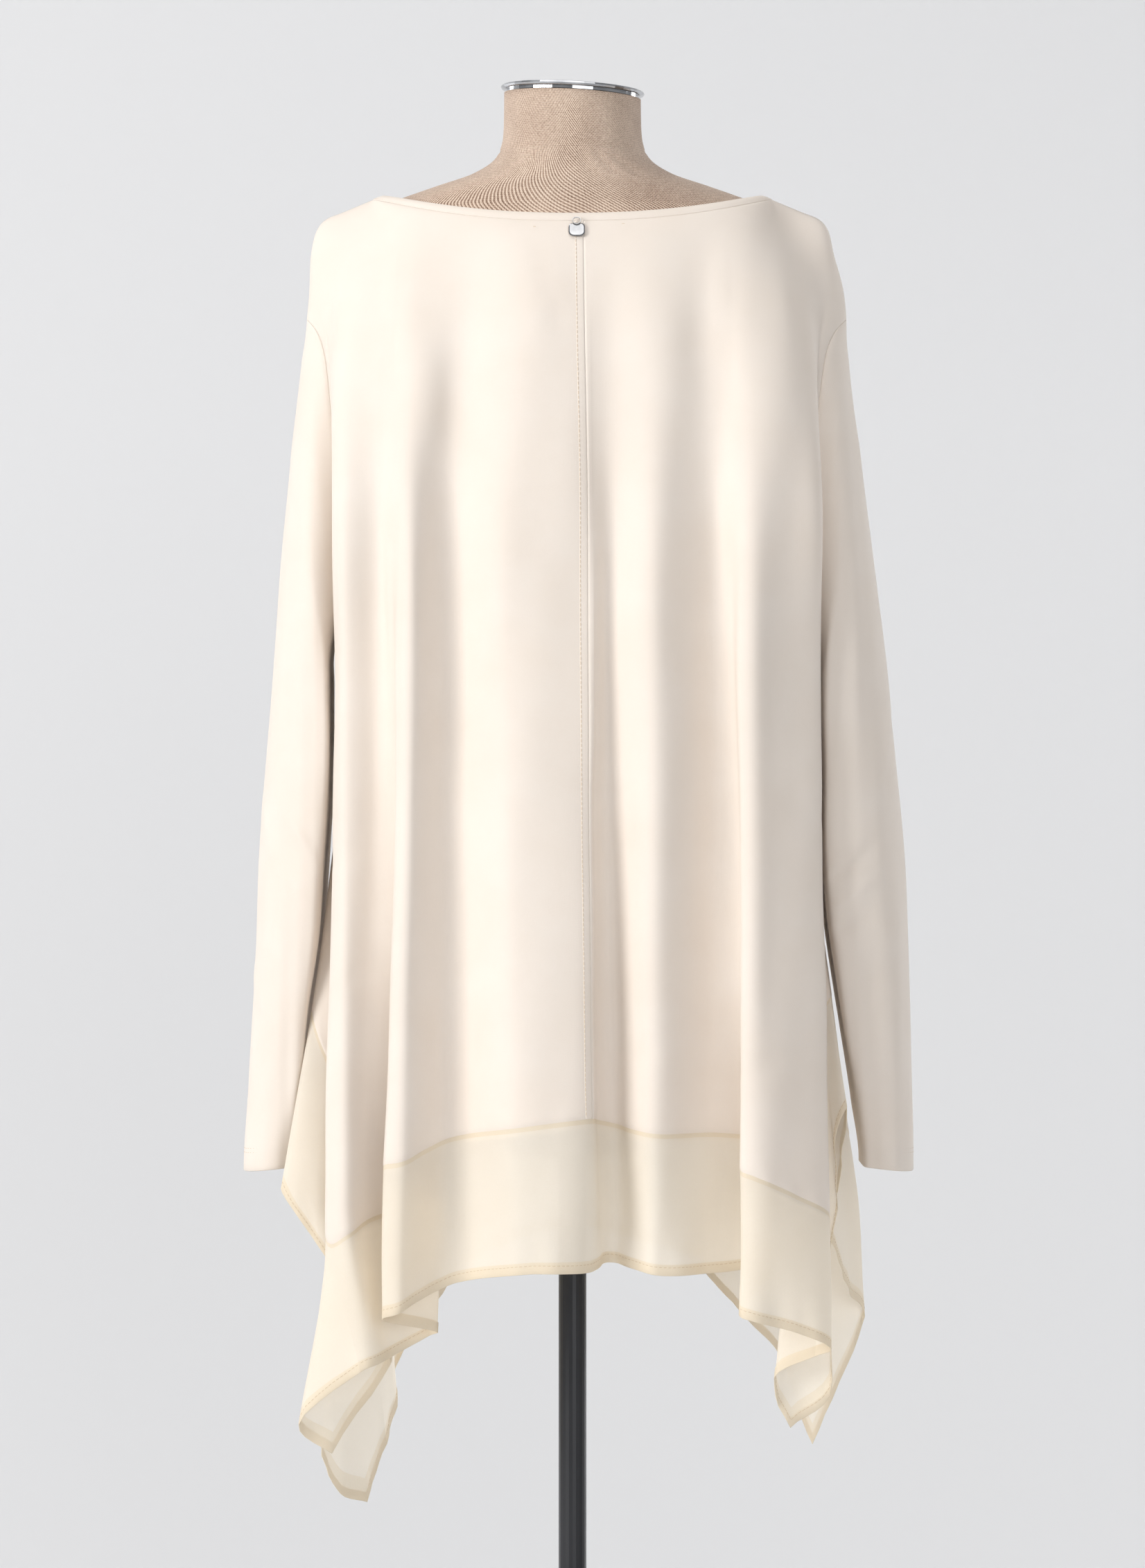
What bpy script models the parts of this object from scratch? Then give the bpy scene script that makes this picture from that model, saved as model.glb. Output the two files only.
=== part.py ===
"""A long-sleeved trapeze tunic of fine jersey, with a sheer band round its handkerchief hem,
worn by a linen dress form on a pole and a round foot.

Metres, +Z up. The origin is on the floor under the pole. The back of the tunic faces -Y.
Every cloth piece is a closed wall. Its middle surface is worked out from the fall lines below:
each fall line is a ridge, trough, fold edge or corner of the cloth, followed down from the
underarm level through the seam between jersey and sheer band to the hem.
"""
import math

import bpy
import numpy as np

# ---------------------------------------------------------------- driving dimensions
MM = 0.001
GAP = 0.3 * MM                  # clearance between pieces that meet
JERSEY_WALL = 1.4 * MM
SHEER_WALL = 1.1 * MM
WELT_RAISE = 0.6 * MM           # the felled centre back seam stands proud by this much
WELT_PLACE = (0.86, 0.875)      # its edge, as a share of the last fold before the centre back
WELT_FREE = 0.79                # no other column lies between this share and the edge
FOLD_GROWTH = 1.5               # how late a fold deepens on its way down
UNDERARM_Z = 1122 * MM

NECK_HALF_WIDTH = 137 * MM
NECK_BACK_Y = -62 * MM
NECK_FRONT_Y = 78 * MM
NECK_BACK_Z = 1398.6 * MM
NECK_FRONT_Z = 1386 * MM
NECK_SHOULDER_Z = 1416 * MM
SHOULDER_Y = -3 * MM
CENTRE_BACK_X = 8 * MM          # where the centre back seam meets the neckband
NECK_SQUARENESS = 0.9           # 1 is an ellipse, lower is squarer at the shoulders
NECKBAND_WIDTH = 7 * MM
NECKBAND_WALL = 2.0 * MM

ARMHOLE_HALF_DEPTH = 44 * MM
ARMHOLE_SLANT = 0.62            # share of the armhole's reach sideways that grows evenly with height
ARMHOLE_ROUNDNESS = 0.7         # 1 is an ellipse, lower is squarer
BACK_BULGE = 12 * MM            # shoulder blades
FRONT_BULGE = 20 * MM           # chest

YOKE_ROWS = 7
SKIRT_ROWS = 6
BAND_ROWS = 3
SHOULDER_COLUMNS = 11           # columns that run up to each shoulder seam, on back and front alike
LONG_STEP = 32                  # millimetres between columns, at most
SHARP_FOLD = math.radians(95)
BESIDE_FOLD = (0.07, 0.2)       # places of more columns on each side of a sharp fold
FOLD_FADE = 0.055               # reach of the smoothing of folds towards the neck, as a share of a panel
NECK_FADE = 0.14                # and of the neck's corners, towards the underarm
PANEL_EDGE_POWER = 6            # how close to an armhole the yoke turns towards it
SWELL_PEAK = 6.75               # scales (1 - r) * r * r so that its highest value is 1
SWELL_SPREAD = 0.45             # below 1, the bulge fills the width of the panel
TIPS = ("back_l_tip", "back_r_tip", "front_l_tip", "front_r_tip")

# Outline of each shoulder below the neckband, in millimetres from the middle and above the floor.
# It starts at the sleeve seam, whose place is in the table of sleeves.
SHOULDER_RISE = ((188, 1375), (184, 1392), (178, 1399.5), (165, 1405))
SHOULDER_START = (2.0, 1349)    # how far in from the sleeve seam it has come, at which height

# Fall lines, in millimetres, in plan: at the underarm level (t), at the fold level (f) and at the
# hem (h); and the heights of the jersey's lower edge and of the hem.
# The ring runs from the left side seam over the back to the right side seam, then over the front.
FOLD_Z = 700 * MM
FALLS = (
    # name             xt    yt    xf    yf   jersey_z  xh    yh  hem_z
    ("side_left",     -158,    0, -208,  -73,  833,  -208,  -73,  706),
    ("back_l_mid",    -160,  -15, -183,  -74,  800,  -180,  -74,  665),
    ("back_l_inner",  -162,  -27, -151,  -62,  765,  -134,  -61,  592),
    ("back_l_return", -164,  -37, -147,  -68,  750,  -130,  -67,  580),
    ("back_l_tip",    -166,  -48, -157,  -82,  715,  -171,  -85,  520),
    ("back_l_turn",   -168,  -60, -170,  -93,  690,  -193, -100,  542),
    ("back_l_corner", -167,  -72, -173, -105,  670,  -149, -112,  580),
    ("side_ridge_l",  -161,  -86, -160, -111,  677,  -137, -107,  585),
    ("side_trough_l", -138,  -83, -142,  -93,  688,  -127,  -92,  589),
    ("inner_a_back",  -130,  -91,  -98,  -82,  699,  -101,  -82,  603),
    ("inner_a",       -127,  -94,  -93,  -88,  703,   -97,  -88,  606),
    ("fold_a",        -121, -103, -133, -121,  726,  -135, -121,  618),
    ("ridge_a",       -113, -108, -121, -128,  729,  -122, -127,  622),
    ("trough_a",       -87,  -89,  -87,  -96,  744,   -87,  -98,  640),
    ("wide_ridge",     -46, -113,  -36, -132,  753,   -34, -132,  650),
    ("centre_back",     11, -109,   15, -123,  759,    15, -122,  651),
    ("recess",          17, -106,   20,  -98,  757,    21,  -98,  655),
    ("trough_b",        25,  -97,   31,  -88,  754,    30,  -88,  655),
    ("ridge_b",         57, -113,   58, -113,  748,    58, -113,  648),
    ("trough_c",        99,  -88,  106,  -83,  747,   105,  -85,  648),
    ("inner_e",        110,  -95,  140,  -82,  742,   138,  -84,  650),
    ("fold_e",         119, -105,  118, -122,  723,   117, -122,  621),
    ("ridge_e",        128, -104,  127, -127,  719,   126, -126,  617),
    ("face_e",         154,  -88,  154, -116,  707,   157, -114,  608),
    ("fold_d",         175,  -72,  181,  -92,  691,   183,  -95,  594),
    ("back_r_corner",  174,  -61,  176,  -78,  684,   172,  -79,  588),
    ("back_r_turn",    171,  -50,  160,  -71,  696,   143,  -72,  572),
    ("back_r_tip",     168,  -39,  160,  -59,  722,   155,  -58,  535),
    ("back_r_side",    165,  -29,  176,  -54,  752,   183,  -58,  558),
    ("back_r_wave_a",  163,  -20,  184,  -55,  790,   180,  -62,  632),
    ("back_r_wave_b",  162,  -13,  188,  -57,  815,   189,  -58,  703),
    ("back_r_wave_c",  161,   -6,  192,  -61,  832,   190,  -60,  742),
    ("side_right",     160,    0,  206,  -68,  842,   206,  -68,  763),
    ("front_r_in",     161,   12,  187,  -14,  822,   186,  -12,  690),
    ("front_r_mid",    163,   24,  187,   21,  795,   191,   20,  654),
    ("front_r_deep",   165,   37,  196,   61,  762,   204,   60,  620),
    ("front_r_turn",   165,   50,  209,   96,  735,   215,   95,  600),
    ("front_r_tip",    164,   64,  174,   90,  700,   177,   78,  508),
    ("front_r_corner", 158,   78,  150,  113,  672,   152,  117,  571),
    ("front_r_ridge",  148,   92,  124,  127,  698,   127,  130,  598),
    ("fold_f_back",    139,  101,  100,  114,  721,    99,  114,  630),
    ("fold_f",         135,  105,   96,  120,  723,    95,  120,  632),
    ("front_outer",    125,  114,  117,  145,  728,   122,  147,  636),
    ("front_ridge_a",  105,  126,   82,  153,  733,    84,  155,  642),
    ("front_low_a",     72,  134,   44,  131,  740,    46,  133,  655),
    ("front_ridge_b",   30,  143,    4,  153,  742,     4,  157,  662),
    ("front_low_b",    -20,  140,  -38,  129,  736,   -40,  131,  655),
    ("front_ridge_c",  -62,  137,  -76,  143,  720,   -78,  147,  635),
    ("front_low_c",    -98,  124, -106,  113,  700,  -108,  115,  600),
    ("front_l_ridge", -125,  112, -133,  122,  680,  -133,  129,  555),
    ("front_l_low",   -142,  101, -139,  103,  668,  -132,  113,  532),
    ("front_l_corner", -153,  88, -151,   90,  664,  -138,   95,  506),
    ("front_l_tip",   -160,   72, -165,   74,  690,  -152,   74,  466),
    ("front_l_turn",  -163,   55, -172,   57,  712,  -170,   58,  474),
    ("front_l_deep",  -163,   40, -172,   36,  738,  -181,   36,  504),
    ("front_l_mid",   -162,   26, -169,    2,  770,  -169,    2,  600),
    ("front_l_in",    -160,   12, -175,  -40,  806,  -176,  -40,  660),
)

# Sleeves, in millimetres: share of the way from armhole to cuff, outer and inner edge from the
# middle on the left and right, half the depth from front to back, how far the front of the inner
# side swells behind the body's side, and how far the inner edge is turned to the back.
SLEEVES = (
    # share  out_l  out_r  in_l  in_r  half_depth  tuck  turn
    (0.00, 191.0, 197.0, 158.0, 158.0, 44, 0, 0),
    (0.06, 196.0, 199.5, 173.5, 177.0, 51, 0, 7),
    (0.15, 202.5, 207.0, 173.5, 178.0, 54, 2, 11),
    (0.30, 211.0, 219.0, 174.0, 178.5, 56, 5, 12),
    (0.45, 218.0, 229.5, 177.5, 179.5, 56, 8, 12),
    (0.60, 224.0, 237.5, 182.5, 185.0, 54, 8, 11),
    (0.75, 228.5, 242.5, 190.0, 194.0, 51, 3, 9),
    (0.90, 233.5, 244.5, 195.0, 202.5, 47, 0, 6),
    (1.00, 237.0, 245.0, 199.0, 208.0, 46, 0, 3),
)
SLEEVE_TOP_Z = 1327 * MM
CUFF_OUT_Z = 716 * MM
CUFF_IN_Z = 720 * MM
SLEEVE_ROWS = 15
SLEEVE_LIFT = 1.9 * MM          # from the body's middle surface to the sleeve's, at the underarm
SLEEVE_BLEND = 0.12             # share of its length in which the armhole's shape fades away
SLEEVE_ROUNDNESS = (0.18, 0.8)  # of the section's inner and outer edge; lower is squarer
SLEEVE_FREE = 0.25              # share of the armhole, from the shoulder, in which the lift grows

# Dress form, in millimetres.
TORSO = (
    # z      half_width  back  front  pinch: the higher, the sharper the sides of the section
    (750.5,  146.0,  -74,  88,  0.93),
    (775.0,  150.0,  -78,  94,  0.93),
    (830.0,  152.0,  -80,  98,  0.93),
    (900.0,  143.0,  -78,  95,  0.93),
    (970.0,  126.0,  -72,  86,  0.93),
    (1030.0, 118.0,  -68,  82,  0.93),
    (1100.0, 130.0,  -78,  98,  0.93),
    (1160.0, 143.0,  -87, 116,  0.93),
    (1220.0, 150.0,  -92, 122,  0.93),
    (1290.0, 160.0,  -90, 104,  0.93),
    (1340.0, 163.0,  -80,  86,  0.95),
    (1372.0, 160.0,  -66,  68,  1.10),
    (1390.0, 156.0,  -55,  56,  1.25),
    (1401.0, 151.0,  -49,  51,  1.45),
    (1408.0, 145.0,  -46,  48,  1.55),
    (1412.4, 134.0,  -46,  48,  1.50),
    (1418.4, 117.5,  -47,  49,  1.35),
    (1425.0,  98.0,  -49,  50,  1.20),
    (1434.0,  71.5,  -50,  50,  1.05),
    (1444.0,  56.6,  -50,  50,  1.00),
    (1455.0,  51.6,  -50,  50,  0.98),
    (1472.0,  50.2,  -49,  49,  0.98),
)
TORSO_SIDES = 30
TORSO_ROUNDNESS = 0.86          # power on the section's cosine
FINE_FROM_Z = 1250              # millimetres; the form has closer rings above this
NECK_TOP_Z = 1491.5 * MM
NECK_RADIUS = 50 * MM
NECK_DEPTH_SHARE = 0.98         # the neck's depth over its width
NECK_TILT = math.radians(3.0)
CAP_RADIUS = 52 * MM
CAP_THICKNESS = 3.4 * MM
CAP_SPIGOT_RADIUS = 47.5 * MM
CAP_SPIGOT_DEPTH = 2.2 * MM
BOSS_RADIUS = 47 * MM
BOSS_BOTTOM_Z = 726 * MM
POLE_RADIUS = 10 * MM
FOOT_RADIUS = 172 * MM
FOOT_THICKNESS = 9 * MM
HUB_RADIUS = 24 * MM
HUB_HEIGHT = 46 * MM

CHARM_SIZE = 11.6 * MM
CHARM_CORNER = 3.6 * MM
CHARM_THICKNESS = 1.2 * MM
CHARM_RING_RADIUS = 2.9 * MM
CHARM_WIRE = 0.45 * MM
CHARM_X = 3.0 * MM


# ---------------------------------------------------------------- curves and grids
def smooth_rows(rows, shares, closed=False, broken=(), broken_values=()):
    """Rows of values read between their knots by a Catmull-Rom curve with uneven knots.

    shares lists (row index, fraction) pairs; the knots are spaced by the root of the distance.
    At the rows named in broken, the values named in broken_values turn a corner.
    """
    rows = np.asarray(rows, float)
    count = len(rows)
    result = []
    for index, fraction in shares:
        picks = [index - 1, index, index + 1, index + 2]
        if closed:
            p = [rows[k % count] for k in picks]
        else:
            p = [rows[min(max(k, 0), count - 1)] for k in picks]
        span = [max(np.linalg.norm(p[k + 1] - p[k]), 1e-6) ** 0.5 for k in range(3)]
        slope = [(p[k + 1] - p[k]) / span[k] for k in range(3)]
        start = (slope[0] * span[1] + slope[1] * span[0]) / (span[0] + span[1])
        end = (slope[1] * span[2] + slope[2] * span[1]) / (span[1] + span[2])
        m0, m1 = start * span[1], end * span[1]
        for knot, tangent in ((index % count, m0), ((index + 1) % count, m1)):
            if knot in broken:
                tangent[list(broken_values)] = (p[2] - p[1])[list(broken_values)]
        f, f2, f3 = fraction, fraction ** 2, fraction ** 3
        result.append(p[1] * (2 * f3 - 3 * f2 + 1) + m0 * (f3 - 2 * f2 + f)
                      + p[2] * (3 * f2 - 2 * f3) + m1 * (f3 - f2))
    return np.array(result)


def length_shares(points):
    steps = np.linalg.norm(np.diff(points, axis=0), axis=1)
    total = np.concatenate([[0.0], np.cumsum(steps)])
    return total / total[-1]


def resample(points, shares):
    """Points on a polyline at given shares of its length."""
    own = length_shares(points)
    return np.stack([np.interp(shares, own, points[:, k]) for k in range(3)], axis=1)


def grid_normals(grid):
    across = np.gradient(grid, axis=0)
    down = np.gradient(grid, axis=1)
    normal = np.cross(down, across)
    return normal / np.linalg.norm(normal, axis=2, keepdims=True)


# ---------------------------------------------------------------- the cloth's middle surface
def fall_index(name):
    return [row[0] for row in FALLS].index(name)


def seam_turn(index):
    """How sharply the ring turns at a fall line, in plan at the fold level."""
    before, here, after = (np.array(FALLS[(index + k) % len(FALLS)][3:5], float) for k in (-1, 0, 1))
    first, second = here - before, after - here
    cosine = first @ second / np.linalg.norm(first) / np.linalg.norm(second)
    return math.acos(np.clip(cosine, -1, 1))


def ring_shares(first, last):
    """Sample places from one fall line to another, with some more on each side of a sharp fold."""
    shares = []
    for index in range(first, last):
        here = np.array(FALLS[index][3:5], float)
        there = np.array(FALLS[(index + 1) % len(FALLS)][3:5], float)
        parts = 1 + int(np.linalg.norm(there - here) // LONG_STEP)
        places = [k / parts for k in range(parts)]
        if seam_turn(index) > SHARP_FOLD and index != first:
            places += BESIDE_FOLD
        if seam_turn(index + 1) > SHARP_FOLD and index + 1 != last:
            places += [1 - place for place in BESIDE_FOLD]
        if FALLS[(index + 1) % len(FALLS)][0] == "centre_back":
            places = [place for place in places if place < WELT_FREE] + list(WELT_PLACE)
        shares += [(index, place) for place in sorted(places)]
    return shares + [(last - 1, 1.0)]


def fall_columns(shares):
    """The ring's columns, read smoothly from the table of fall lines, one row for each column."""
    rows = [row[1:] for row in FALLS]
    tips = [fall_index(name) for name in TIPS]
    return smooth_rows(rows, shares, closed=True, broken=tips, broken_values=(4, 7)) * MM


def column_points(columns, heights):
    """Points on the columns at given heights below the underarm level."""
    top, fold, hem = columns[:, 0:2], columns[:, 2:4], columns[:, 5:7]
    growth = ((UNDERARM_Z - heights) / (UNDERARM_Z - FOLD_Z))[:, None]
    plan = top + (fold - top) * growth ** FOLD_GROWTH
    below = np.maximum(FOLD_Z - columns[:, 7], 1 * MM)
    share = np.clip((FOLD_Z - heights) / below, 0, 1)[:, None]
    lean = FOLD_GROWTH * (fold - top) * (below / (UNDERARM_Z - FOLD_Z))[:, None]
    tail = fold + (hem - fold) * share + (lean - hem + fold) * share * (1 - share) ** 2
    plan = np.where(share > 0, tail, plan)
    return np.column_stack([plan, heights])


def neckline(angle):
    """The neck opening's edge: angle 0 at the right shoulder, pi/2 at the back, -pi/2 at the front."""
    sine, cosine = math.sin(angle), math.cos(angle)
    back = sine >= 0
    x = NECK_HALF_WIDTH * math.copysign(abs(cosine) ** NECK_SQUARENESS, cosine)
    reach = NECK_BACK_Y if back else NECK_FRONT_Y
    y = SHOULDER_Y + (reach - SHOULDER_Y) * abs(sine)
    low = NECK_BACK_Z if back else NECK_FRONT_Z
    z = low + (NECK_SHOULDER_Z - low) * abs(cosine) ** 2
    return np.array([x, y, z])


def neck_fall(angle):
    """Unit direction down the cloth from the neck edge."""
    sine, cosine = math.sin(angle), math.cos(angle)
    fall = np.array([0.95 * cosine, -0.55 * sine, -0.30 - 0.50 * abs(sine)])
    return fall / np.linalg.norm(fall)


def neck_seam(angle):
    return neckline(angle) + neck_fall(angle) * NECKBAND_WIDTH


def shoulder_seam(side):
    """From the sleeve seam up over the shoulder's tip to the neckband."""
    out = SLEEVES[0][2] if side > 0 else SLEEVES[0][1]
    neck = neck_seam(0.0)
    rows = [(out, SLEEVE_TOP_Z / MM), (out - SHOULDER_START[0], SHOULDER_START[1])]
    rows += [*SHOULDER_RISE, (neck[0] / MM, neck[2] / MM)]
    shares = [(k // 4, (k % 4) / 4) for k in range(4 * (len(rows) - 1))] + [(len(rows) - 2, 1.0)]
    curve = smooth_rows(rows, shares) * MM
    return np.array([(side * x, SHOULDER_Y, z) for x, z in curve])


def armhole(side, facing, share):
    """A point of the armhole seam: share 0 at the shoulder, 1 at the underarm; facing -1 is the back."""
    angle = math.pi * share
    out = (SLEEVES[0][2] if side > 0 else SLEEVES[0][1]) * MM
    edge = FALLS[fall_index("side_right" if side > 0 else "side_left")]
    under = abs(edge[1]) * MM
    raised = (1 + math.cos(angle)) / 2
    tip = max(0.0, math.cos(angle)) ** 8
    x = under + (out - under) * (ARMHOLE_SLANT * raised + (1 - ARMHOLE_SLANT) * tip)
    y = SHOULDER_Y * (1 - share) + facing * ARMHOLE_HALF_DEPTH * math.sin(angle) ** ARMHOLE_ROUNDNESS
    z = UNDERARM_Z + (SLEEVE_TOP_Z - UNDERARM_Z) * raised
    return np.array([side * x, y, z])


def yoke_grid(bottom, start_side, facing, bulge, pinned=None):
    """The panel above the underarm: a patch between neck and shoulders, armholes and underarm level.

    Also gives the neck columns' angles, in order. pinned holds a column and its x at the neck.
    """
    across = length_shares(bottom)
    first, last = SHOULDER_COLUMNS, len(bottom) - 1 - SHOULDER_COLUMNS
    turn = np.linspace(0.0, math.pi, 181)
    if start_side < 0:
        turn = math.pi - turn
    neck = np.array([neck_seam(-facing * a) for a in turn])
    middle = (across[first:last + 1] - across[first]) / (across[last] - across[first])
    if pinned:
        order = neck[:, 0] * -start_side
        share = np.interp(pinned[1] * -start_side, order, length_shares(neck))
        middle = np.interp(middle, [0, middle[pinned[0] - first], 1], [0, share, 1])
    angles = -facing * np.interp(middle, length_shares(neck), turn)
    top = np.zeros_like(bottom)
    even = np.linspace(0.0, 1.0, SHOULDER_COLUMNS + 1)
    top[:first + 1] = resample(shoulder_seam(start_side), even)
    top[first:last + 1] = [neck_seam(a) for a in angles]
    top[last:] = resample(shoulder_seam(-start_side)[::-1], even)
    drop = top - soften(bottom, across, FOLD_FADE)
    u = across[:, None]
    grid = np.zeros((len(bottom), YOKE_ROWS + 1, 3))
    for j in range(YOKE_ROWS + 1):
        v = j / YOKE_ROWS
        raised = (1 + math.cos(math.pi * v)) / 2
        ease = np.array([raised ** 2, raised ** 2, raised])
        row = soften(bottom, across, FOLD_FADE * raised)
        row += ease * soften(drop, across, NECK_FADE * math.sqrt(1 - raised))
        left = armhole(start_side, facing, v) - row[0]
        right = armhole(-start_side, facing, v) - row[-1]
        grid[:, j] = row + (1 - u) ** PANEL_EDGE_POWER * left + u ** PANEL_EDGE_POWER * right
        swell = SWELL_PEAK * (1 - raised) * raised ** 2 * (4 * across * (1 - across)) ** SWELL_SPREAD
        grid[:, j, 1] += facing * bulge * swell
    return grid, angles


def soften(values, places, reach):
    """Rows averaged with their neighbours, weighted by how near these lie along the row."""
    if reach <= 0:
        return values.copy()
    widths = np.gradient(places)
    apart = (places[:, None] - places[None, :]) / reach
    weights = np.exp(-apart ** 2 / 2) * widths[None, :]
    return weights @ values / weights.sum(axis=1, keepdims=True)


def panel_grid(first, last, start_side, facing, bulge):
    """One whole panel, back or front: yoke, skirt and sheer band in one grid of columns."""
    shares = ring_shares(first, last)
    columns = fall_columns(shares)
    under = np.full(len(columns), UNDERARM_Z)
    edge, hem = columns[:, 4], columns[:, 7]
    seam = shares.index((fall_index("centre_back"), 0.0)) if facing < 0 else None
    pinned = (seam, CENTRE_BACK_X) if seam else None
    yoke, neck_angles = yoke_grid(column_points(columns, under), start_side, facing, bulge, pinned)
    heights = [under + (edge - under) * k / SKIRT_ROWS for k in range(1, SKIRT_ROWS + 1)]
    heights += [edge + (hem - edge) * k / BAND_ROWS for k in range(1, BAND_ROWS + 1)]
    rows = [column_points(columns, height) for height in heights]
    grid = np.concatenate([yoke, np.stack(rows, axis=1)], axis=1)
    normals = grid_normals(grid)
    normals[:, 0] = top_normals(neck_angles, start_side)
    return shares, grid, normals, neck_angles


def neck_normal(angle):
    """Unit normal of the cloth at the neck's edge."""
    along = neckline(angle + 0.01) - neckline(angle - 0.01)
    normal = np.cross(along, neck_fall(angle))
    normal *= math.copysign(1.0, normal[2])
    return normal / np.linalg.norm(normal)


def shoulder_normals(side):
    """Normals along a shoulder seam, square to it and shared by back and front."""
    seam = resample(shoulder_seam(side), np.linspace(0.0, 1.0, SHOULDER_COLUMNS + 1))
    along = np.gradient(seam, axis=0)
    normals = np.column_stack([-along[:, 2], np.zeros(len(seam)), along[:, 0]]) * -side
    return normals / np.linalg.norm(normals, axis=1, keepdims=True)


def top_normals(neck_angles, start_side):
    neck = np.array([neck_normal(a) for a in neck_angles])
    first, last = shoulder_normals(start_side), shoulder_normals(-start_side)[::-1]
    return np.concatenate([first[:-1], neck, last[1:]])


# ---------------------------------------------------------------- meshes
def material(name, colour, roughness, metallic=0.0):
    made = bpy.data.materials.new(name)
    made.use_nodes = True
    shader = made.node_tree.nodes["Principled BSDF"]
    shader.inputs["Base Color"].default_value = (*colour, 1.0)
    shader.inputs["Roughness"].default_value = roughness
    shader.inputs["Metallic"].default_value = metallic
    made.diffuse_color = (*colour, 1.0)
    return made


def add_object(name, vertices, faces, finish):
    mesh = bpy.data.meshes.new(name)
    mesh.from_pydata([tuple(map(float, v)) for v in vertices], [], faces)
    mesh.materials.append(finish)
    mesh.shade_smooth()
    mesh.set_sharp_from_angle(angle=math.radians(40))
    mesh.update()
    made = bpy.data.objects.new(name, mesh)
    bpy.context.scene.collection.objects.link(made)
    return made


def add_wall(name, grid, normals, thickness, finish, raise_outer=None, closed=False):
    """A closed wall round a grid of middle points, half the thickness to each side."""
    lift = thickness / 2 * np.ones(grid.shape[:2])
    outer = grid + normals * (lift if raise_outer is None else lift + raise_outer)[:, :, None]
    inner = grid - normals * lift[:, :, None]
    columns, rows = grid.shape[:2]
    vertices = np.concatenate([outer.reshape(-1, 3), inner.reshape(-1, 3)])
    shift = columns * rows
    spans = columns if closed else columns - 1
    faces = []
    for i in range(spans):
        n = (i + 1) % columns
        for j in range(rows - 1):
            a, b, c, d = i * rows + j, i * rows + j + 1, n * rows + j + 1, n * rows + j
            faces += [(a, b, c), (a, c, d)]
            faces += [(shift + a, shift + c, shift + b), (shift + a, shift + d, shift + c)]
        top_a, top_b = i * rows, n * rows
        low_a, low_b = i * rows + rows - 1, n * rows + rows - 1
        faces += [(top_a, top_b, shift + top_b), (top_a, shift + top_b, shift + top_a)]
        faces += [(low_a, shift + low_b, low_b), (low_a, shift + low_a, shift + low_b)]
    if not closed:
        for j in range(rows - 1):
            a, b = j, j + 1
            faces += [(a, shift + b, b), (a, shift + a, shift + b)]
            c, d = (columns - 1) * rows + j, (columns - 1) * rows + j + 1
            faces += [(c, d, shift + d), (c, shift + d, shift + c)]
    return add_object(name, vertices, faces, finish)


def cut_piece(grid, normals, columns, rows, opened):
    """Part of a panel, with half the seam gap taken off each edge named in opened."""
    part = grid[columns[0]:columns[1] + 1, rows[0]:rows[1] + 1].copy()
    facing = normals[columns[0]:columns[1] + 1, rows[0]:rows[1] + 1]

    def draw_in(edge, neighbour):
        along = np.gradient(edge, axis=0)
        along /= np.linalg.norm(along, axis=1, keepdims=True)
        step = neighbour - edge
        step -= np.sum(step * along, axis=1, keepdims=True) * along
        return edge + step / np.linalg.norm(step, axis=1, keepdims=True) * GAP / 2

    if "start" in opened:
        part[0] = draw_in(part[0], part[1])
    if "end" in opened:
        part[-1] = draw_in(part[-1], part[-2])
    if "top" in opened:
        part[:, 0] = draw_in(part[:, 0], part[:, 1])
    if "bottom" in opened:
        part[:, -1] = draw_in(part[:, -1], part[:, -2])
    return part, facing


def turned(name, profile, sides, finish, origin=(0, 0, 0), tilt=0.0):
    """A solid of revolution round Z from (radius, z) pairs, closed at both ends on the axis."""
    vertices = []
    rings = []
    for radius, z in profile:
        if radius == 0:
            rings.append([len(vertices)])
            vertices.append((0.0, 0.0, z))
        else:
            rings.append(list(range(len(vertices), len(vertices) + sides)))
            for k in range(sides):
                angle = 2 * math.pi * k / sides
                vertices.append((radius * math.cos(angle), radius * math.sin(angle), z))
    faces = []
    for upper, lower in zip(rings, rings[1:]):
        for k in range(sides):
            n = (k + 1) % sides
            if len(upper) == 1:
                faces.append((upper[0], lower[k], lower[n]))
            elif len(lower) == 1:
                faces.append((upper[k], lower[0], upper[n]))
            else:
                faces.append((upper[k], lower[k], lower[n], upper[n]))
    made = add_object(name, vertices, faces, finish)
    made.location = origin
    made.rotation_euler = (0.0, tilt, 0.0)
    return made


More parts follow.
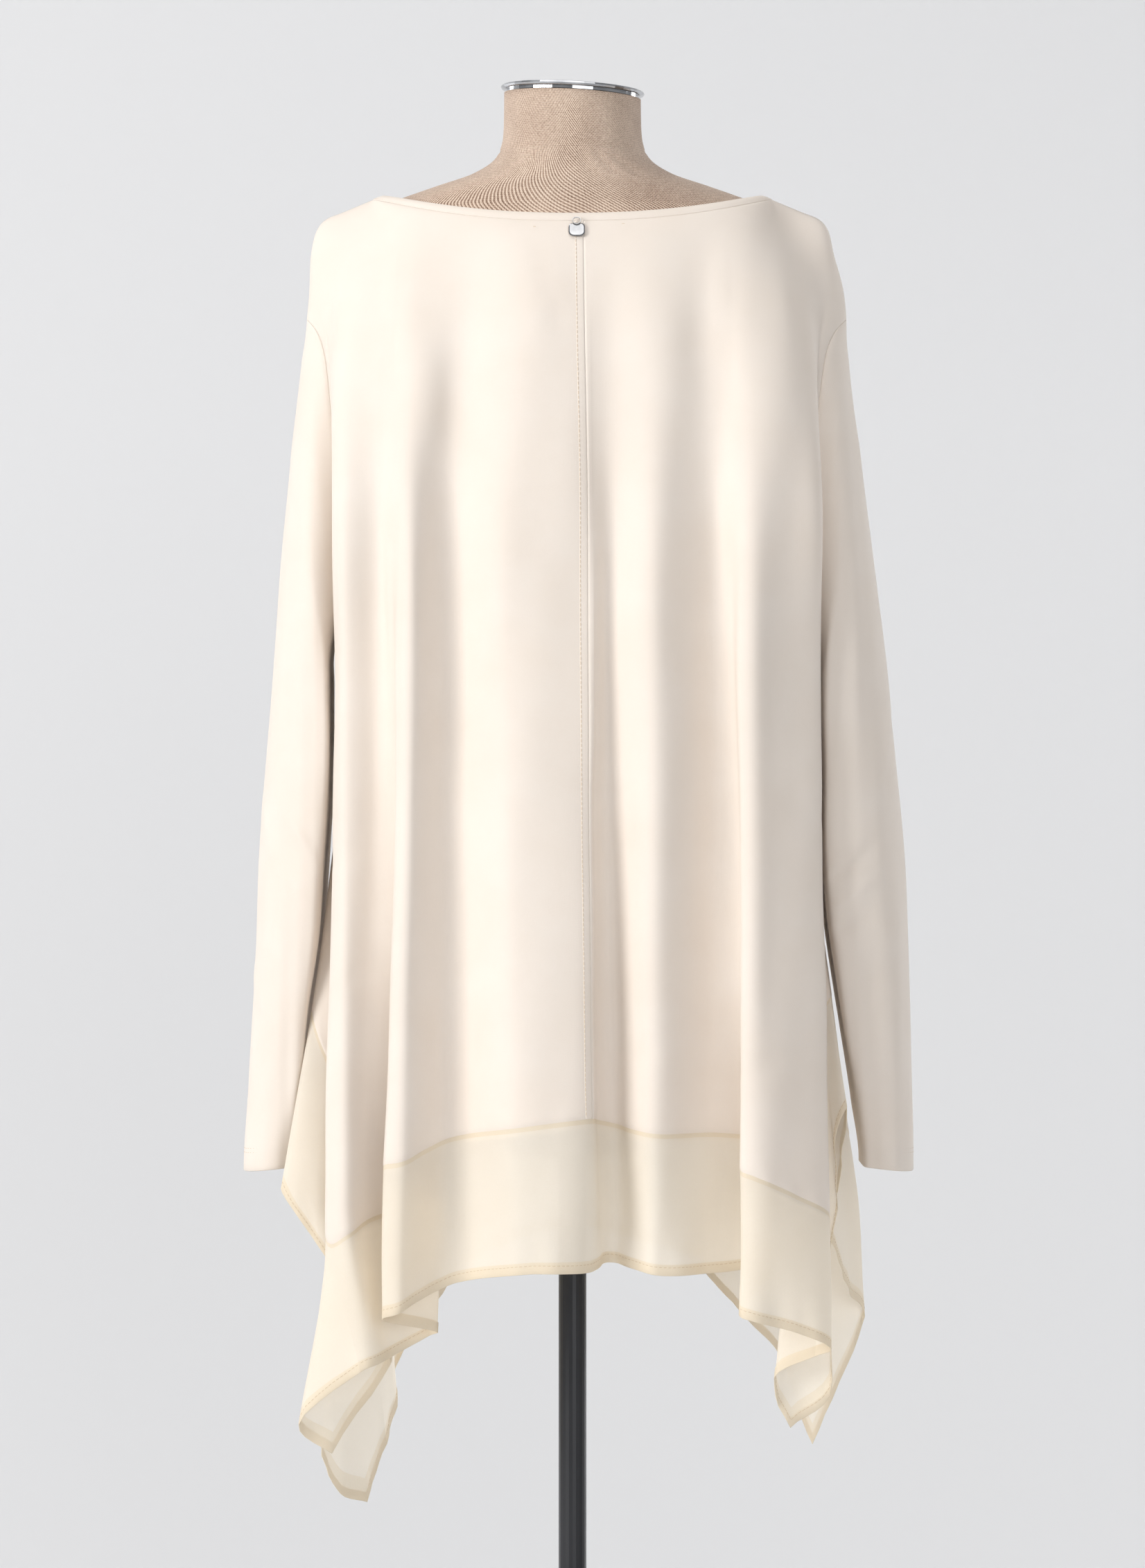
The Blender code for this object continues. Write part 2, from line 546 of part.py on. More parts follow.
# ---------------------------------------------------------------- the tunic
def build_body(finish):
    """Back halves, front, neckbands, hem strips and sleeves, which share points at their seams."""
    left, right = 0, fall_index("side_right")
    back_shares, back, back_normals, back_neck = panel_grid(left, right, -1, -1, BACK_BULGE)
    front_shares, front, front_normals, front_neck = panel_grid(right, len(FALLS), 1, 1, FRONT_BULGE)
    for back_edge, front_edge in ((0, -1), (-1, 0)):
        shared = back_normals[back_edge, YOKE_ROWS:] + front_normals[front_edge, YOKE_ROWS:]
        shared /= np.linalg.norm(shared, axis=1, keepdims=True)
        back_normals[back_edge, YOKE_ROWS:] = shared
        front_normals[front_edge, YOKE_ROWS:] = shared

    def column(shares, name):
        return shares.index((fall_index(name), 0.0))

    seam_row = YOKE_ROWS + SKIRT_ROWS
    hem_row = seam_row + BAND_ROWS
    middle = column(back_shares, "centre_back")
    back_end, front_end = len(back_shares) - 1, len(front_shares) - 1
    welt = np.zeros((middle + 1, seam_row + 1))
    welt[-2:] = WELT_RAISE
    all_edges = ("start", "end", "top", "bottom")
    panels = (
        ("back_left", back, back_normals, (0, middle), welt),
        ("back_right", back, back_normals, (middle, back_end), None),
        ("front", front, front_normals, (0, front_end), None),
    )
    for name, grid, normals, columns, raised in panels:
        part, facing = cut_piece(grid, normals, columns, (0, seam_row), all_edges)
        add_wall(name, part, facing, JERSEY_WALL, finish["jersey"], raise_outer=raised)

    back_corners = [column(back_shares, name) for name in ("back_l_corner", "back_r_corner")]
    front_corners = [column(front_shares, name) for name in ("front_r_corner", "front_l_corner")]
    strips = (
        ("hem_strip_back_left", back, back_normals, (0, back_corners[0])),
        ("hem_strip_back", back, back_normals, back_corners),
        ("hem_strip_back_right", back, back_normals, (back_corners[1], back_end)),
        ("hem_strip_front_right", front, front_normals, (0, front_corners[0])),
        ("hem_strip_front", front, front_normals, front_corners),
        ("hem_strip_front_left", front, front_normals, (front_corners[1], front_end)),
    )
    for name, grid, normals, columns in strips:
        part, facing = cut_piece(grid, normals, columns, (seam_row, hem_row), ("start", "end", "top"))
        add_wall(name, part, facing, SHEER_WALL, finish["sheer"])

    build_neckband("neckband_back", back_neck, finish)
    build_neckband("neckband_front", front_neck, finish)
    build_charm(back[middle, 0], back[middle, 1], finish)
    rows = slice(0, YOKE_ROWS + 1)
    for name, side, back_edge, front_edge in (("sleeve_left", -1, 0, -1), ("sleeve_right", 1, -1, 0)):
        hole = np.concatenate([front[front_edge, rows], back[back_edge, rows][::-1][1:-1]])
        facing = np.concatenate([front_normals[front_edge, rows], back_normals[back_edge, rows][::-1][1:-1]])
        build_sleeve(name, side, hole, facing, finish)


def sleeve_ring(side, share):
    table = np.array([row[1:] for row in SLEEVES], float)
    places = [row[0] for row in SLEEVES]
    row = [np.interp(share, places, table[:, k]) * MM for k in range(7)]
    out_l, out_r, in_l, in_r, depth, tuck, turn = row
    out, inn = (out_r, in_r) if side > 0 else (out_l, in_l)
    out_z = SLEEVE_TOP_Z + (CUFF_OUT_Z - SLEEVE_TOP_Z) * share
    in_z = UNDERARM_Z + (CUFF_IN_Z - UNDERARM_Z) * share
    ring = []
    for k in range(2 * YOKE_ROWS):
        angle = math.pi * k / YOKE_ROWS
        raised = (1 + math.cos(angle)) / 2
        x = inn + (out - inn) * raised - tuck * max(0.0, math.sin(angle)) * (1 - raised)
        power = SLEEVE_ROUNDNESS[0] + (SLEEVE_ROUNDNESS[1] - SLEEVE_ROUNDNESS[0]) * raised
        y = depth * math.copysign(abs(math.sin(angle)) ** power, math.sin(angle))
        y -= turn * (1 - 2 * raised)
        z = in_z + (out_z - in_z) * raised
        ring.append((side * x, y, z))
    return np.array(ring)


def build_sleeve(name, side, hole, hole_normals, finish):
    """A tube of rings from the armhole seam to the cuff; its first ring lies just outside the body."""
    low = np.minimum(np.arange(2 * YOKE_ROWS), 2 * YOKE_ROWS - np.arange(2 * YOKE_ROWS)) / YOKE_ROWS
    lift = np.minimum(low / SLEEVE_FREE, 1.0)[:, None]
    start = hole + hole_normals * lift * SLEEVE_LIFT
    start[:, 2] -= (1 - lift[:, 0]) * 2 * GAP
    rings = [start]
    for j in range(1, SLEEVE_ROWS + 1):
        share = j / SLEEVE_ROWS
        blend = max(0.0, 1 - share / SLEEVE_BLEND) ** 2
        rings.append(sleeve_ring(side, share) * (1 - blend) + start * blend)
    grid = np.stack(rings, axis=1)
    if side < 0:
        grid = grid[::-1]
    around = np.roll(grid, -1, axis=0) - np.roll(grid, 1, axis=0)
    down = np.gradient(grid, axis=1)
    normals = np.cross(down, around)
    normals /= np.linalg.norm(normals, axis=2, keepdims=True)
    add_wall(name, grid, normals, JERSEY_WALL, finish["jersey"], closed=True)


def build_neckband(name, angles, finish):
    """A narrow band above the neck seam, on the same columns as the panel below it."""
    grid = np.array([[neckline(a) + neck_fall(a) * reach for reach in (0, NECKBAND_WIDTH)]
                     for a in angles])
    normals = np.array([[neck_normal(a)] * 2 for a in angles])
    part, facing = cut_piece(grid, normals, (0, len(angles) - 1), (0, 1), ("start", "end", "bottom"))
    add_wall(name, part, facing, NECKBAND_WALL, finish["jersey"])


def build_charm(top, below, finish):
    """A plain soft-cornered plate and its wire ring, lying on the cloth below the neck seam."""
    down = (below - top) / np.linalg.norm(below - top)
    lean = math.atan2(-down[1], -down[2])
    out = np.array([0.0, -math.cos(lean), math.sin(lean)])
    face = JERSEY_WALL / 2 + WELT_RAISE + GAP
    plate_lift = face + CHARM_THICKNESS / 2
    ring_lift = face + CHARM_THICKNESS + GAP + CHARM_WIRE
    ring_at = top + down * 2.0 * MM + out * ring_lift
    plate_at = top + down * 9.0 * MM + out * plate_lift
    bpy.ops.mesh.primitive_torus_add(
        major_segments=18, minor_segments=6, major_radius=CHARM_RING_RADIUS, minor_radius=CHARM_WIRE,
        location=(CHARM_X, ring_at[1], ring_at[2]), rotation=(math.pi / 2 - lean, 0, 0))
    ring = bpy.context.object
    ring.name = "charm_ring"
    ring.data.materials.append(finish["chrome"])
    half = CHARM_SIZE / 2 - CHARM_CORNER
    outline = []
    for sign_x, sign_z, start in ((1, 1, 0), (-1, 1, 90), (-1, -1, 180), (1, -1, 270)):
        for k in range(5):
            angle = math.radians(start + 22.5 * k)
            outline.append((sign_x * half + CHARM_CORNER * math.cos(angle),
                            sign_z * half + CHARM_CORNER * math.sin(angle)))
    layers = ((0.86, -0.5), (1.0, -0.2), (1.0, 0.2), (0.86, 0.5))
    vertices = [(x * s, t * CHARM_THICKNESS, z * s) for s, t in layers for x, z in outline]
    count = len(outline)
    faces = [tuple(range(count)), tuple(reversed(range((len(layers) - 1) * count, len(layers) * count)))]
    for layer in range(len(layers) - 1):
        for k in range(count):
            n = (k + 1) % count
            base = layer * count
            faces.append((base + k, base + count + k, base + count + n, base + n))
    plate = add_object("charm_plate", vertices, faces, finish["chrome"])
    plate.location = (CHARM_X, plate_at[1], plate_at[2])
    plate.rotation_euler = (-lean, 0, 0)


# ---------------------------------------------------------------- the dress form and its stand
def torso_profile(place):
    """Height, half width, back, front and pinch at a place in the form's table, read smoothly."""
    row = smooth_rows(TORSO, [place])[0]
    return (*row[:4] * MM, row[4])


def build_torso(finish):
    places = []
    for k in range(len(TORSO) - 1):
        places += [(k, 0.0), (k, 0.5)] if TORSO[k][0] > FINE_FROM_Z else [(k, 0.0)]
    places.append((len(TORSO) - 2, 1.0))
    vertices = []
    for place in places:
        z, half, back, front, pinch = torso_profile(place)
        for k in range(TORSO_SIDES):
            angle = 2 * math.pi * k / TORSO_SIDES
            sine, cosine = math.sin(angle), math.cos(angle)
            depth = front if sine > 0 else back
            x = half * math.copysign(abs(cosine) ** TORSO_ROUNDNESS, cosine)
            y = abs(depth) * math.copysign(abs(sine) ** pinch, sine)
            vertices.append((x, y, z))
    for k in range(TORSO_SIDES):
        angle = 2 * math.pi * k / TORSO_SIDES
        x, y = NECK_RADIUS * math.cos(angle), NECK_RADIUS * math.sin(angle) * NECK_DEPTH_SHARE
        vertices.append((x, y, NECK_TOP_Z - CAP_SPIGOT_DEPTH - x * math.tan(NECK_TILT)))
    rings = len(places) + 1
    faces = [tuple(reversed(range(TORSO_SIDES)))]
    for ring in range(rings - 1):
        for k in range(TORSO_SIDES):
            n = (k + 1) % TORSO_SIDES
            base = ring * TORSO_SIDES
            faces.append((base + k, base + n, base + TORSO_SIDES + n, base + TORSO_SIDES + k))
    faces.append(tuple(range((rings - 1) * TORSO_SIDES, rings * TORSO_SIDES)))
    add_object("form_torso", vertices, faces, finish["linen"])


def build_stand(finish):
    cap = (
        (0, CAP_THICKNESS),
        (CAP_RADIUS - 3 * MM, CAP_THICKNESS),
        (CAP_RADIUS - 0.8 * MM, CAP_THICKNESS * 0.82),
        (CAP_RADIUS, CAP_THICKNESS * 0.5),
        (CAP_RADIUS - 0.8 * MM, CAP_THICKNESS * 0.14),
        (CAP_RADIUS - 2 * MM, 0.0),
        (CAP_SPIGOT_RADIUS, 0.0),
        (CAP_SPIGOT_RADIUS, -CAP_SPIGOT_DEPTH + GAP),
        (0, -CAP_SPIGOT_DEPTH + GAP),
    )
    turned("neck_cap", cap, 40, finish["chrome"], origin=(0, 0, NECK_TOP_Z), tilt=NECK_TILT)
    torso_bottom = TORSO[0][0] * MM
    boss = (
        (0, torso_bottom - GAP),
        (BOSS_RADIUS, torso_bottom - GAP),
        (BOSS_RADIUS, BOSS_BOTTOM_Z + 2 * MM),
        (BOSS_RADIUS - 2 * MM, BOSS_BOTTOM_Z),
        (0, BOSS_BOTTOM_Z),
    )
    turned("under_boss", boss, 32, finish["black"])
    pole = (
        (0, BOSS_BOTTOM_Z - GAP),
        (POLE_RADIUS, BOSS_BOTTOM_Z - GAP),
        (POLE_RADIUS, HUB_HEIGHT + GAP),
        (0, HUB_HEIGHT + GAP),
    )
    turned("pole", pole, 24, finish["black"])
    hub = (
        (0, HUB_HEIGHT),
        (HUB_RADIUS - 8 * MM, HUB_HEIGHT),
        (HUB_RADIUS - 6 * MM, HUB_HEIGHT - 2 * MM),
        (HUB_RADIUS, FOOT_THICKNESS + 6 * MM),
        (HUB_RADIUS, FOOT_THICKNESS + GAP),
        (0, FOOT_THICKNESS + GAP),
    )
    turned("foot_hub", hub, 32, finish["black"])
    foot = (
        (0, FOOT_THICKNESS),
        (FOOT_RADIUS - 6 * MM, FOOT_THICKNESS),
        (FOOT_RADIUS - 1.5 * MM, FOOT_THICKNESS * 0.7),
        (FOOT_RADIUS, FOOT_THICKNESS * 0.4),
        (FOOT_RADIUS - 1 * MM, 0.0),
        (0, 0.0),
    )
    turned("foot", foot, 48, finish["black"])


def main():
    for existing in list(bpy.data.objects):
        bpy.data.objects.remove(existing)
    finish = {
        "jersey": material("cream_jersey", (0.86, 0.76, 0.63), 0.85),
        "sheer": material("cream_chiffon", (0.84, 0.73, 0.56), 0.80),
        "linen": material("form_linen", (0.42, 0.30, 0.23), 0.90),
        "chrome": material("polished_chrome", (0.78, 0.79, 0.80), 0.12, 1.0),
        "black": material("black_painted_steel", (0.022, 0.023, 0.028), 0.45),
    }
    build_body(finish)
    build_torso(finish)
    build_stand(finish)


main()
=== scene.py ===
"""A cream jersey trapeze tunic with a sheer band round its handkerchief hem, on a linen dress
form. Every cloth piece is a fine shell on the form of its solid, worked out from the same fall
lines: each is a ridge, trough, fold edge or corner of the cloth, followed down to the hem.

Metres, +Z up. The back of the tunic faces -Y, towards the camera.
"""

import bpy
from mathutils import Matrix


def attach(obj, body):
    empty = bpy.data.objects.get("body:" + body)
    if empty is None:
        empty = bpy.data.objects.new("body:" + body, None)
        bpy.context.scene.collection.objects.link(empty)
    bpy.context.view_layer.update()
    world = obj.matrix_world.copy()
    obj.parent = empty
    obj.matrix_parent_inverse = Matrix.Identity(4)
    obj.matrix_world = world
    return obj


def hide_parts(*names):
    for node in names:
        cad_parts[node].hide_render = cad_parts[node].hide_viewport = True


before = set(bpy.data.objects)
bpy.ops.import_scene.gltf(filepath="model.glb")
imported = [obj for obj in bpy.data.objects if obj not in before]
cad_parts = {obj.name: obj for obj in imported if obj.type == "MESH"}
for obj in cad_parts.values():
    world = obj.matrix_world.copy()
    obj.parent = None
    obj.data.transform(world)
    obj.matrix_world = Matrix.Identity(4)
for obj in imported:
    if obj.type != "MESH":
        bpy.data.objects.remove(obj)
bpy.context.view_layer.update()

import math

import bpy
import numpy as np
from mathutils import Vector

# ---------------------------------------------------------------- sizes of the cut and its drape
MM = 0.001
JERSEY_CLOTH = 0.7 * MM         # thickness of a shell of jersey
UNDERARM_Z = 1122 * MM
FOLD_GROWTH = 1.5               # how late a fold deepens on its way down
NECK_HALF_WIDTH = 137 * MM
NECK_BACK_Y = -62 * MM
NECK_FRONT_Y = 78 * MM
NECK_BACK_Z = 1398.6 * MM
NECK_FRONT_Z = 1386 * MM
NECK_SHOULDER_Z = 1416 * MM
SHOULDER_Y = -3 * MM
CENTRE_BACK_X = 8 * MM          # where the centre back seam meets the neckband
NECK_SQUARENESS = 0.9           # 1 is an ellipse, lower is squarer at the shoulders
NECKBAND_WIDTH = 7 * MM
ARMHOLE_HALF_DEPTH = 44 * MM
ARMHOLE_SLANT = 0.62            # share of the armhole's reach sideways that grows evenly with height
ARMHOLE_ROUNDNESS = 0.7         # 1 is an ellipse, lower is squarer
BACK_BULGE = 12 * MM            # shoulder blades
FRONT_BULGE = 20 * MM           # chest
FOLD_FADE = 0.055               # reach of the smoothing of folds towards the neck, as a share of a panel
NECK_FADE = 0.14                # and of the neck's corners, towards the underarm
PANEL_EDGE_POWER = 6            # how close to an armhole the yoke turns towards it
SWELL_PEAK = 6.75               # scales (1 - r) * r * r so that its highest value is 1
SWELL_SPREAD = 0.45             # below 1, the bulge fills the width of the panel

YOKE_ROWS = 64
SKIRT_ROWS = 96
BAND_ROWS = 26
SEAM_ROW = YOKE_ROWS + SKIRT_ROWS
SHOULDER_COLUMNS = 40           # columns that run up to each shoulder seam
COLUMN_STEP = 4.2               # millimetres between columns at the fold level, about
FEWEST_PARTS = 5                # columns between two fall lines, at least
TIPS = ("back_l_tip", "back_r_tip", "front_l_tip", "front_r_tip")

# Outline of each shoulder below the neckband, in millimetres from the middle and above the floor.
# It starts at the sleeve seam, whose place is in the table of sleeves.
SHOULDER_RISE = ((188, 1375), (184, 1392), (178, 1399.5), (165, 1405))
SHOULDER_START = (2.0, 1349)    # how far in from the sleeve seam it has come, at which height

# Fall lines, in millimetres, in plan: at the underarm level (t), at the fold level (f) and at the
# hem (h); and the heights of the jersey's lower edge and of the hem.
# The ring runs from the left side seam over the back to the right side seam, then over the front.
FOLD_Z = 700 * MM
FALLS = (
    # name             xt    yt    xf    yf   jersey_z  xh    yh  hem_z
    ("side_left",     -158,    0, -208,  -73,  833,  -208,  -73,  706),
    ("back_l_mid",    -160,  -15, -183,  -74,  800,  -180,  -74,  665),
    ("back_l_inner",  -162,  -27, -151,  -62,  765,  -134,  -61,  592),
    ("back_l_return", -164,  -37, -147,  -68,  750,  -130,  -67,  580),
    ("back_l_tip",    -166,  -48, -157,  -82,  715,  -171,  -85,  520),
    ("back_l_turn",   -168,  -60, -170,  -93,  690,  -193, -100,  542),
    ("back_l_corner", -167,  -72, -173, -105,  670,  -149, -112,  580),
    ("side_ridge_l",  -161,  -86, -160, -111,  677,  -137, -107,  585),
    ("side_trough_l", -138,  -83, -142,  -93,  688,  -127,  -92,  589),
    ("inner_a_back",  -130,  -91,  -98,  -82,  699,  -101,  -82,  603),
    ("inner_a",       -127,  -94,  -93,  -88,  703,   -97,  -88,  606),
    ("fold_a",        -121, -103, -133, -121,  726,  -135, -121,  618),
    ("ridge_a",       -113, -108, -121, -128,  729,  -122, -127,  622),
    ("trough_a",       -87,  -89,  -87,  -96,  744,   -87,  -98,  640),
    ("wide_ridge",     -46, -113,  -36, -132,  753,   -34, -132,  650),
    ("centre_back",     11, -109,   15, -123,  759,    15, -122,  651),
    ("recess",          17, -106,   20,  -98,  757,    21,  -98,  655),
    ("trough_b",        25,  -97,   31,  -88,  754,    30,  -88,  655),
    ("ridge_b",         57, -113,   58, -113,  748,    58, -113,  648),
    ("trough_c",        99,  -88,  106,  -83,  747,   105,  -85,  648),
    ("inner_e",        110,  -95,  140,  -82,  742,   138,  -84,  650),
    ("fold_e",         119, -105,  118, -122,  723,   117, -122,  621),
    ("ridge_e",        128, -104,  127, -127,  719,   126, -126,  617),
    ("face_e",         154,  -88,  154, -116,  707,   157, -114,  608),
    ("fold_d",         175,  -72,  181,  -92,  691,   183,  -95,  594),
    ("back_r_corner",  174,  -61,  176,  -78,  684,   172,  -79,  588),
    ("back_r_turn",    171,  -50,  160,  -71,  696,   143,  -72,  572),
    ("back_r_tip",     168,  -39,  160,  -59,  722,   155,  -58,  535),
    ("back_r_side",    165,  -29,  176,  -54,  752,   183,  -58,  558),
    ("back_r_wave_a",  163,  -20,  184,  -55,  790,   180,  -62,  632),
    ("back_r_wave_b",  162,  -13,  188,  -57,  815,   189,  -58,  703),
    ("back_r_wave_c",  161,   -6,  192,  -61,  832,   190,  -60,  742),
    ("side_right",     160,    0,  206,  -68,  842,   206,  -68,  763),
    ("front_r_in",     161,   12,  187,  -14,  822,   186,  -12,  690),
    ("front_r_mid",    163,   24,  187,   21,  795,   191,   20,  654),
    ("front_r_deep",   165,   37,  196,   61,  762,   204,   60,  620),
    ("front_r_turn",   165,   50,  209,   96,  735,   215,   95,  600),
    ("front_r_tip",    164,   64,  174,   90,  700,   177,   78,  508),
    ("front_r_corner", 158,   78,  150,  113,  672,   152,  117,  571),
    ("front_r_ridge",  148,   92,  124,  127,  698,   127,  130,  598),
    ("fold_f_back",    139,  101,  100,  114,  721,    99,  114,  630),
    ("fold_f",         135,  105,   96,  120,  723,    95,  120,  632),
    ("front_outer",    125,  114,  117,  145,  728,   122,  147,  636),
    ("front_ridge_a",  105,  126,   82,  153,  733,    84,  155,  642),
    ("front_low_a",     72,  134,   44,  131,  740,    46,  133,  655),
    ("front_ridge_b",   30,  143,    4,  153,  742,     4,  157,  662),
    ("front_low_b",    -20,  140,  -38,  129,  736,   -40,  131,  655),
    ("front_ridge_c",  -62,  137,  -76,  143,  720,   -78,  147,  635),
    ("front_low_c",    -98,  124, -106,  113,  700,  -108,  115,  600),
    ("front_l_ridge", -125,  112, -133,  122,  680,  -133,  129,  555),
    ("front_l_low",   -142,  101, -139,  103,  668,  -132,  113,  532),
    ("front_l_corner", -153,  88, -151,   90,  664,  -138,   95,  506),
    ("front_l_tip",   -160,   72, -165,   74,  690,  -152,   74,  466),
    ("front_l_turn",  -163,   55, -172,   57,  712,  -170,   58,  474),
    ("front_l_deep",  -163,   40, -172,   36,  738,  -181,   36,  504),
    ("front_l_mid",   -162,   26, -169,    2,  770,  -169,    2,  600),
    ("front_l_in",    -160,   12, -175,  -40,  806,  -176,  -40,  660),
)

# Sleeves, in millimetres: share of the way from armhole to cuff, outer and inner edge from the
# middle on the left and right, half the depth from front to back, how far the front of the inner
# side swells behind the body's side, and how far the inner edge is turned to the back.
SLEEVES = (
    # share  out_l  out_r  in_l  in_r  half_depth  tuck  turn
    (0.00, 191.0, 197.0, 158.0, 158.0, 44, 0, 0),
    (0.06, 196.0, 199.5, 173.5, 177.0, 51, 0, 7),
    (0.15, 202.5, 207.0, 173.5, 178.0, 54, 2, 11),
    (0.30, 211.0, 219.0, 174.0, 178.5, 56, 5, 12),
    (0.45, 218.0, 229.5, 177.5, 179.5, 56, 8, 12),
    (0.60, 224.0, 237.5, 182.5, 185.0, 54, 8, 11),
    (0.75, 228.5, 242.5, 190.0, 194.0, 51, 3, 9),
    (0.90, 233.5, 244.5, 195.0, 202.5, 47, 0, 6),
    (1.00, 237.0, 245.0, 199.0, 208.0, 46, 0, 3),
)
SLEEVE_TOP_Z = 1327 * MM
CUFF_OUT_Z = 716 * MM
CUFF_IN_Z = 720 * MM
SLEEVE_ROWS = 150
SLEEVE_ROUNDNESS = (0.18, 0.8)  # of its section on the inner and outer side; 1 is an ellipse
SLEEVE_BLEND = 0.12             # share of the sleeve over which the armhole's shape gives way
SLEEVE_LIFT = 1.9 * MM          # of the sleeve above the body, just below its seam
SEAM_LIFT = 0.42 * MM           # of the sleeve's seam above the body, in the jersey's middle
SEAM_NEAR = 0.012               # share of the sleeve over which the one goes over into the other
SLEEVE_FREE = 0.25              # share of the armhole, from its top, over which they grow
UNDERARM_BLEND = 45 * MM
UNDERARM_PASSES = 160
HEM_WIDTH = 7 * MM
TACK_Y = -70.4                  # millimetres, as the places of the tacks
TACKS = (("tack_left", -27, 1388.5), ("tack_right", 36, 1390.5))

# Colours, as linear light.
JERSEY_LIGHT = (0.93, 0.852, 0.772)
JERSEY_DEEP = (0.90, 0.812, 0.722)
JERSEY_GLOW = (0.93, 0.80, 0.66)
CHIFFON_LIGHT = (0.97, 0.895, 0.785)
CHIFFON_DEEP = (0.94, 0.86, 0.74)
# Hem and seam edge: darker, warmer chiffon, partly the doubled cloth's own denser tone and partly painted
# shade of the backlight that the layers behind hold back.
HEM_LIGHT_PAINTED_SHADE = (0.90, 0.80, 0.645)
HEM_DEEP_PAINTED_SHADE = (0.865, 0.755, 0.59)
CHIFFON_GLOW = (0.98, 0.92, 0.80)
# Thread: a tan darker than the cloth, partly its own colour and partly painted shade of the faint shadow
# line along the stitches.
THREAD_WITH_PAINTED_SHADE = (0.66, 0.53, 0.38)
LINEN_LIGHT = (0.90, 0.75, 0.62)
LINEN_MID = (0.50, 0.36, 0.27)
LINEN_DARK = (0.13, 0.07, 0.045)
BLACK = (0.007, 0.0075, 0.01)
BLACK_WORN = (0.014, 0.0145, 0.018)
SWEEP_COLOUR = (0.75, 0.752, 0.76)


# ---------------------------------------------------------------- curves and grids
def smooth_rows(rows, shares, closed=False, broken=(), broken_values=()):
    """Rows of values read between their knots by a Catmull-Rom curve with uneven knots.

    shares lists (row index, fraction) pairs; the knots are spaced by the root of the distance.
    At the rows named in broken, the values named in broken_values turn a corner.
    """
    rows = np.asarray(rows, float)
    count = len(rows)
    result = []
    for index, fraction in shares:
        picks = [index - 1, index, index + 1, index + 2]
        if closed:
            p = [rows[k % count] for k in picks]
        else:
            p = [rows[min(max(k, 0), count - 1)] for k in picks]
        span = [max(np.linalg.norm(p[k + 1] - p[k]), 1e-6) ** 0.5 for k in range(3)]
        slope = [(p[k + 1] - p[k]) / span[k] for k in range(3)]
        start = (slope[0] * span[1] + slope[1] * span[0]) / (span[0] + span[1])
        end = (slope[1] * span[2] + slope[2] * span[1]) / (span[1] + span[2])
        m0, m1 = start * span[1], end * span[1]
        for knot, tangent in ((index % count, m0), ((index + 1) % count, m1)):
            if knot in broken:
                tangent[list(broken_values)] = (p[2] - p[1])[list(broken_values)]
        f, f2, f3 = fraction, fraction ** 2, fraction ** 3
        result.append(p[1] * (2 * f3 - 3 * f2 + 1) + m0 * (f3 - 2 * f2 + f)
                      + p[2] * (3 * f2 - 2 * f3) + m1 * (f3 - f2))
    return np.array(result)


def unit(vectors):
    return vectors / np.maximum(np.linalg.norm(vectors, axis=-1, keepdims=True), 1e-12)


def length_shares(points):
    total = lengths(points)
    return total / total[-1]


def lengths(points):
    """How far along a polyline each of its points lies."""
    steps = np.linalg.norm(np.diff(points, axis=0), axis=1)
    return np.concatenate([[0.0], np.cumsum(steps)])


def at(points, places, values=None):
    """Points on a polyline, or values held at its points, at given distances along it."""
    own = lengths(points)
    values = points if values is None else values
    return np.stack([np.interp(places, own, values[:, k]) for k in range(values.shape[1])], axis=1)


def resample(points, shares):
    return at(points, np.asarray(shares) * lengths(points)[-1])


def grid_normals(grid, closed=False):
    if closed:
        across = np.roll(grid, -1, axis=0) - np.roll(grid, 1, axis=0)
    else:
        across = np.gradient(grid, axis=0)
    down = np.gradient(grid, axis=1)
    return unit(np.cross(down, across))


def soften(values, places, reach):
    """Rows averaged with their neighbours, weighted by how near these lie along the row."""
    if reach <= 0:
        return values.copy()
    widths = np.gradient(places)
    apart = (places[:, None] - places[None, :]) / reach
    weights = np.exp(-apart ** 2 / 2) * widths[None, :]
    return weights @ values / weights.sum(axis=1, keepdims=True)


def smoothstep(low, high, value):
    t = np.clip((value - low) / (high - low), 0.0, 1.0)
    return t * t * (3 - 2 * t)


# ---------------------------------------------------------------- the body's surface
def fall_index(name):
    return [row[0] for row in FALLS].index(name)


def ring_shares(first, last):
    """Close sample places from one fall line to another."""
    shares = []
    for index in range(first, last):
        here = np.array(FALLS[index][3:5], float)
        there = np.array(FALLS[(index + 1) % len(FALLS)][3:5], float)
        parts = max(FEWEST_PARTS, math.ceil(np.linalg.norm(there - here) / COLUMN_STEP))
        shares += [(index, k / parts) for k in range(parts)]
    return shares + [(last - 1, 1.0)]


def fall_columns(shares):
    """The ring's columns, read smoothly from the table of fall lines, one row for each column."""
    rows = [row[1:] for row in FALLS]
    tips = [fall_index(name) for name in TIPS]
    return smooth_rows(rows, shares, closed=True, broken=tips, broken_values=(4, 7)) * MM


def column_points(columns, heights):
    """Points on the columns at given heights below the underarm level."""
    top, fold, hem = columns[:, 0:2], columns[:, 2:4], columns[:, 5:7]
    growth = ((UNDERARM_Z - heights) / (UNDERARM_Z - FOLD_Z))[:, None]
    plan = top + (fold - top) * growth ** FOLD_GROWTH
    below = np.maximum(FOLD_Z - columns[:, 7], 1 * MM)
    share = np.clip((FOLD_Z - heights) / below, 0, 1)[:, None]
    lean = FOLD_GROWTH * (fold - top) * (below / (UNDERARM_Z - FOLD_Z))[:, None]
    tail = fold + (hem - fold) * share + (lean - hem + fold) * share * (1 - share) ** 2
    plan = np.where(share > 0, tail, plan)
    return np.column_stack([plan, heights])


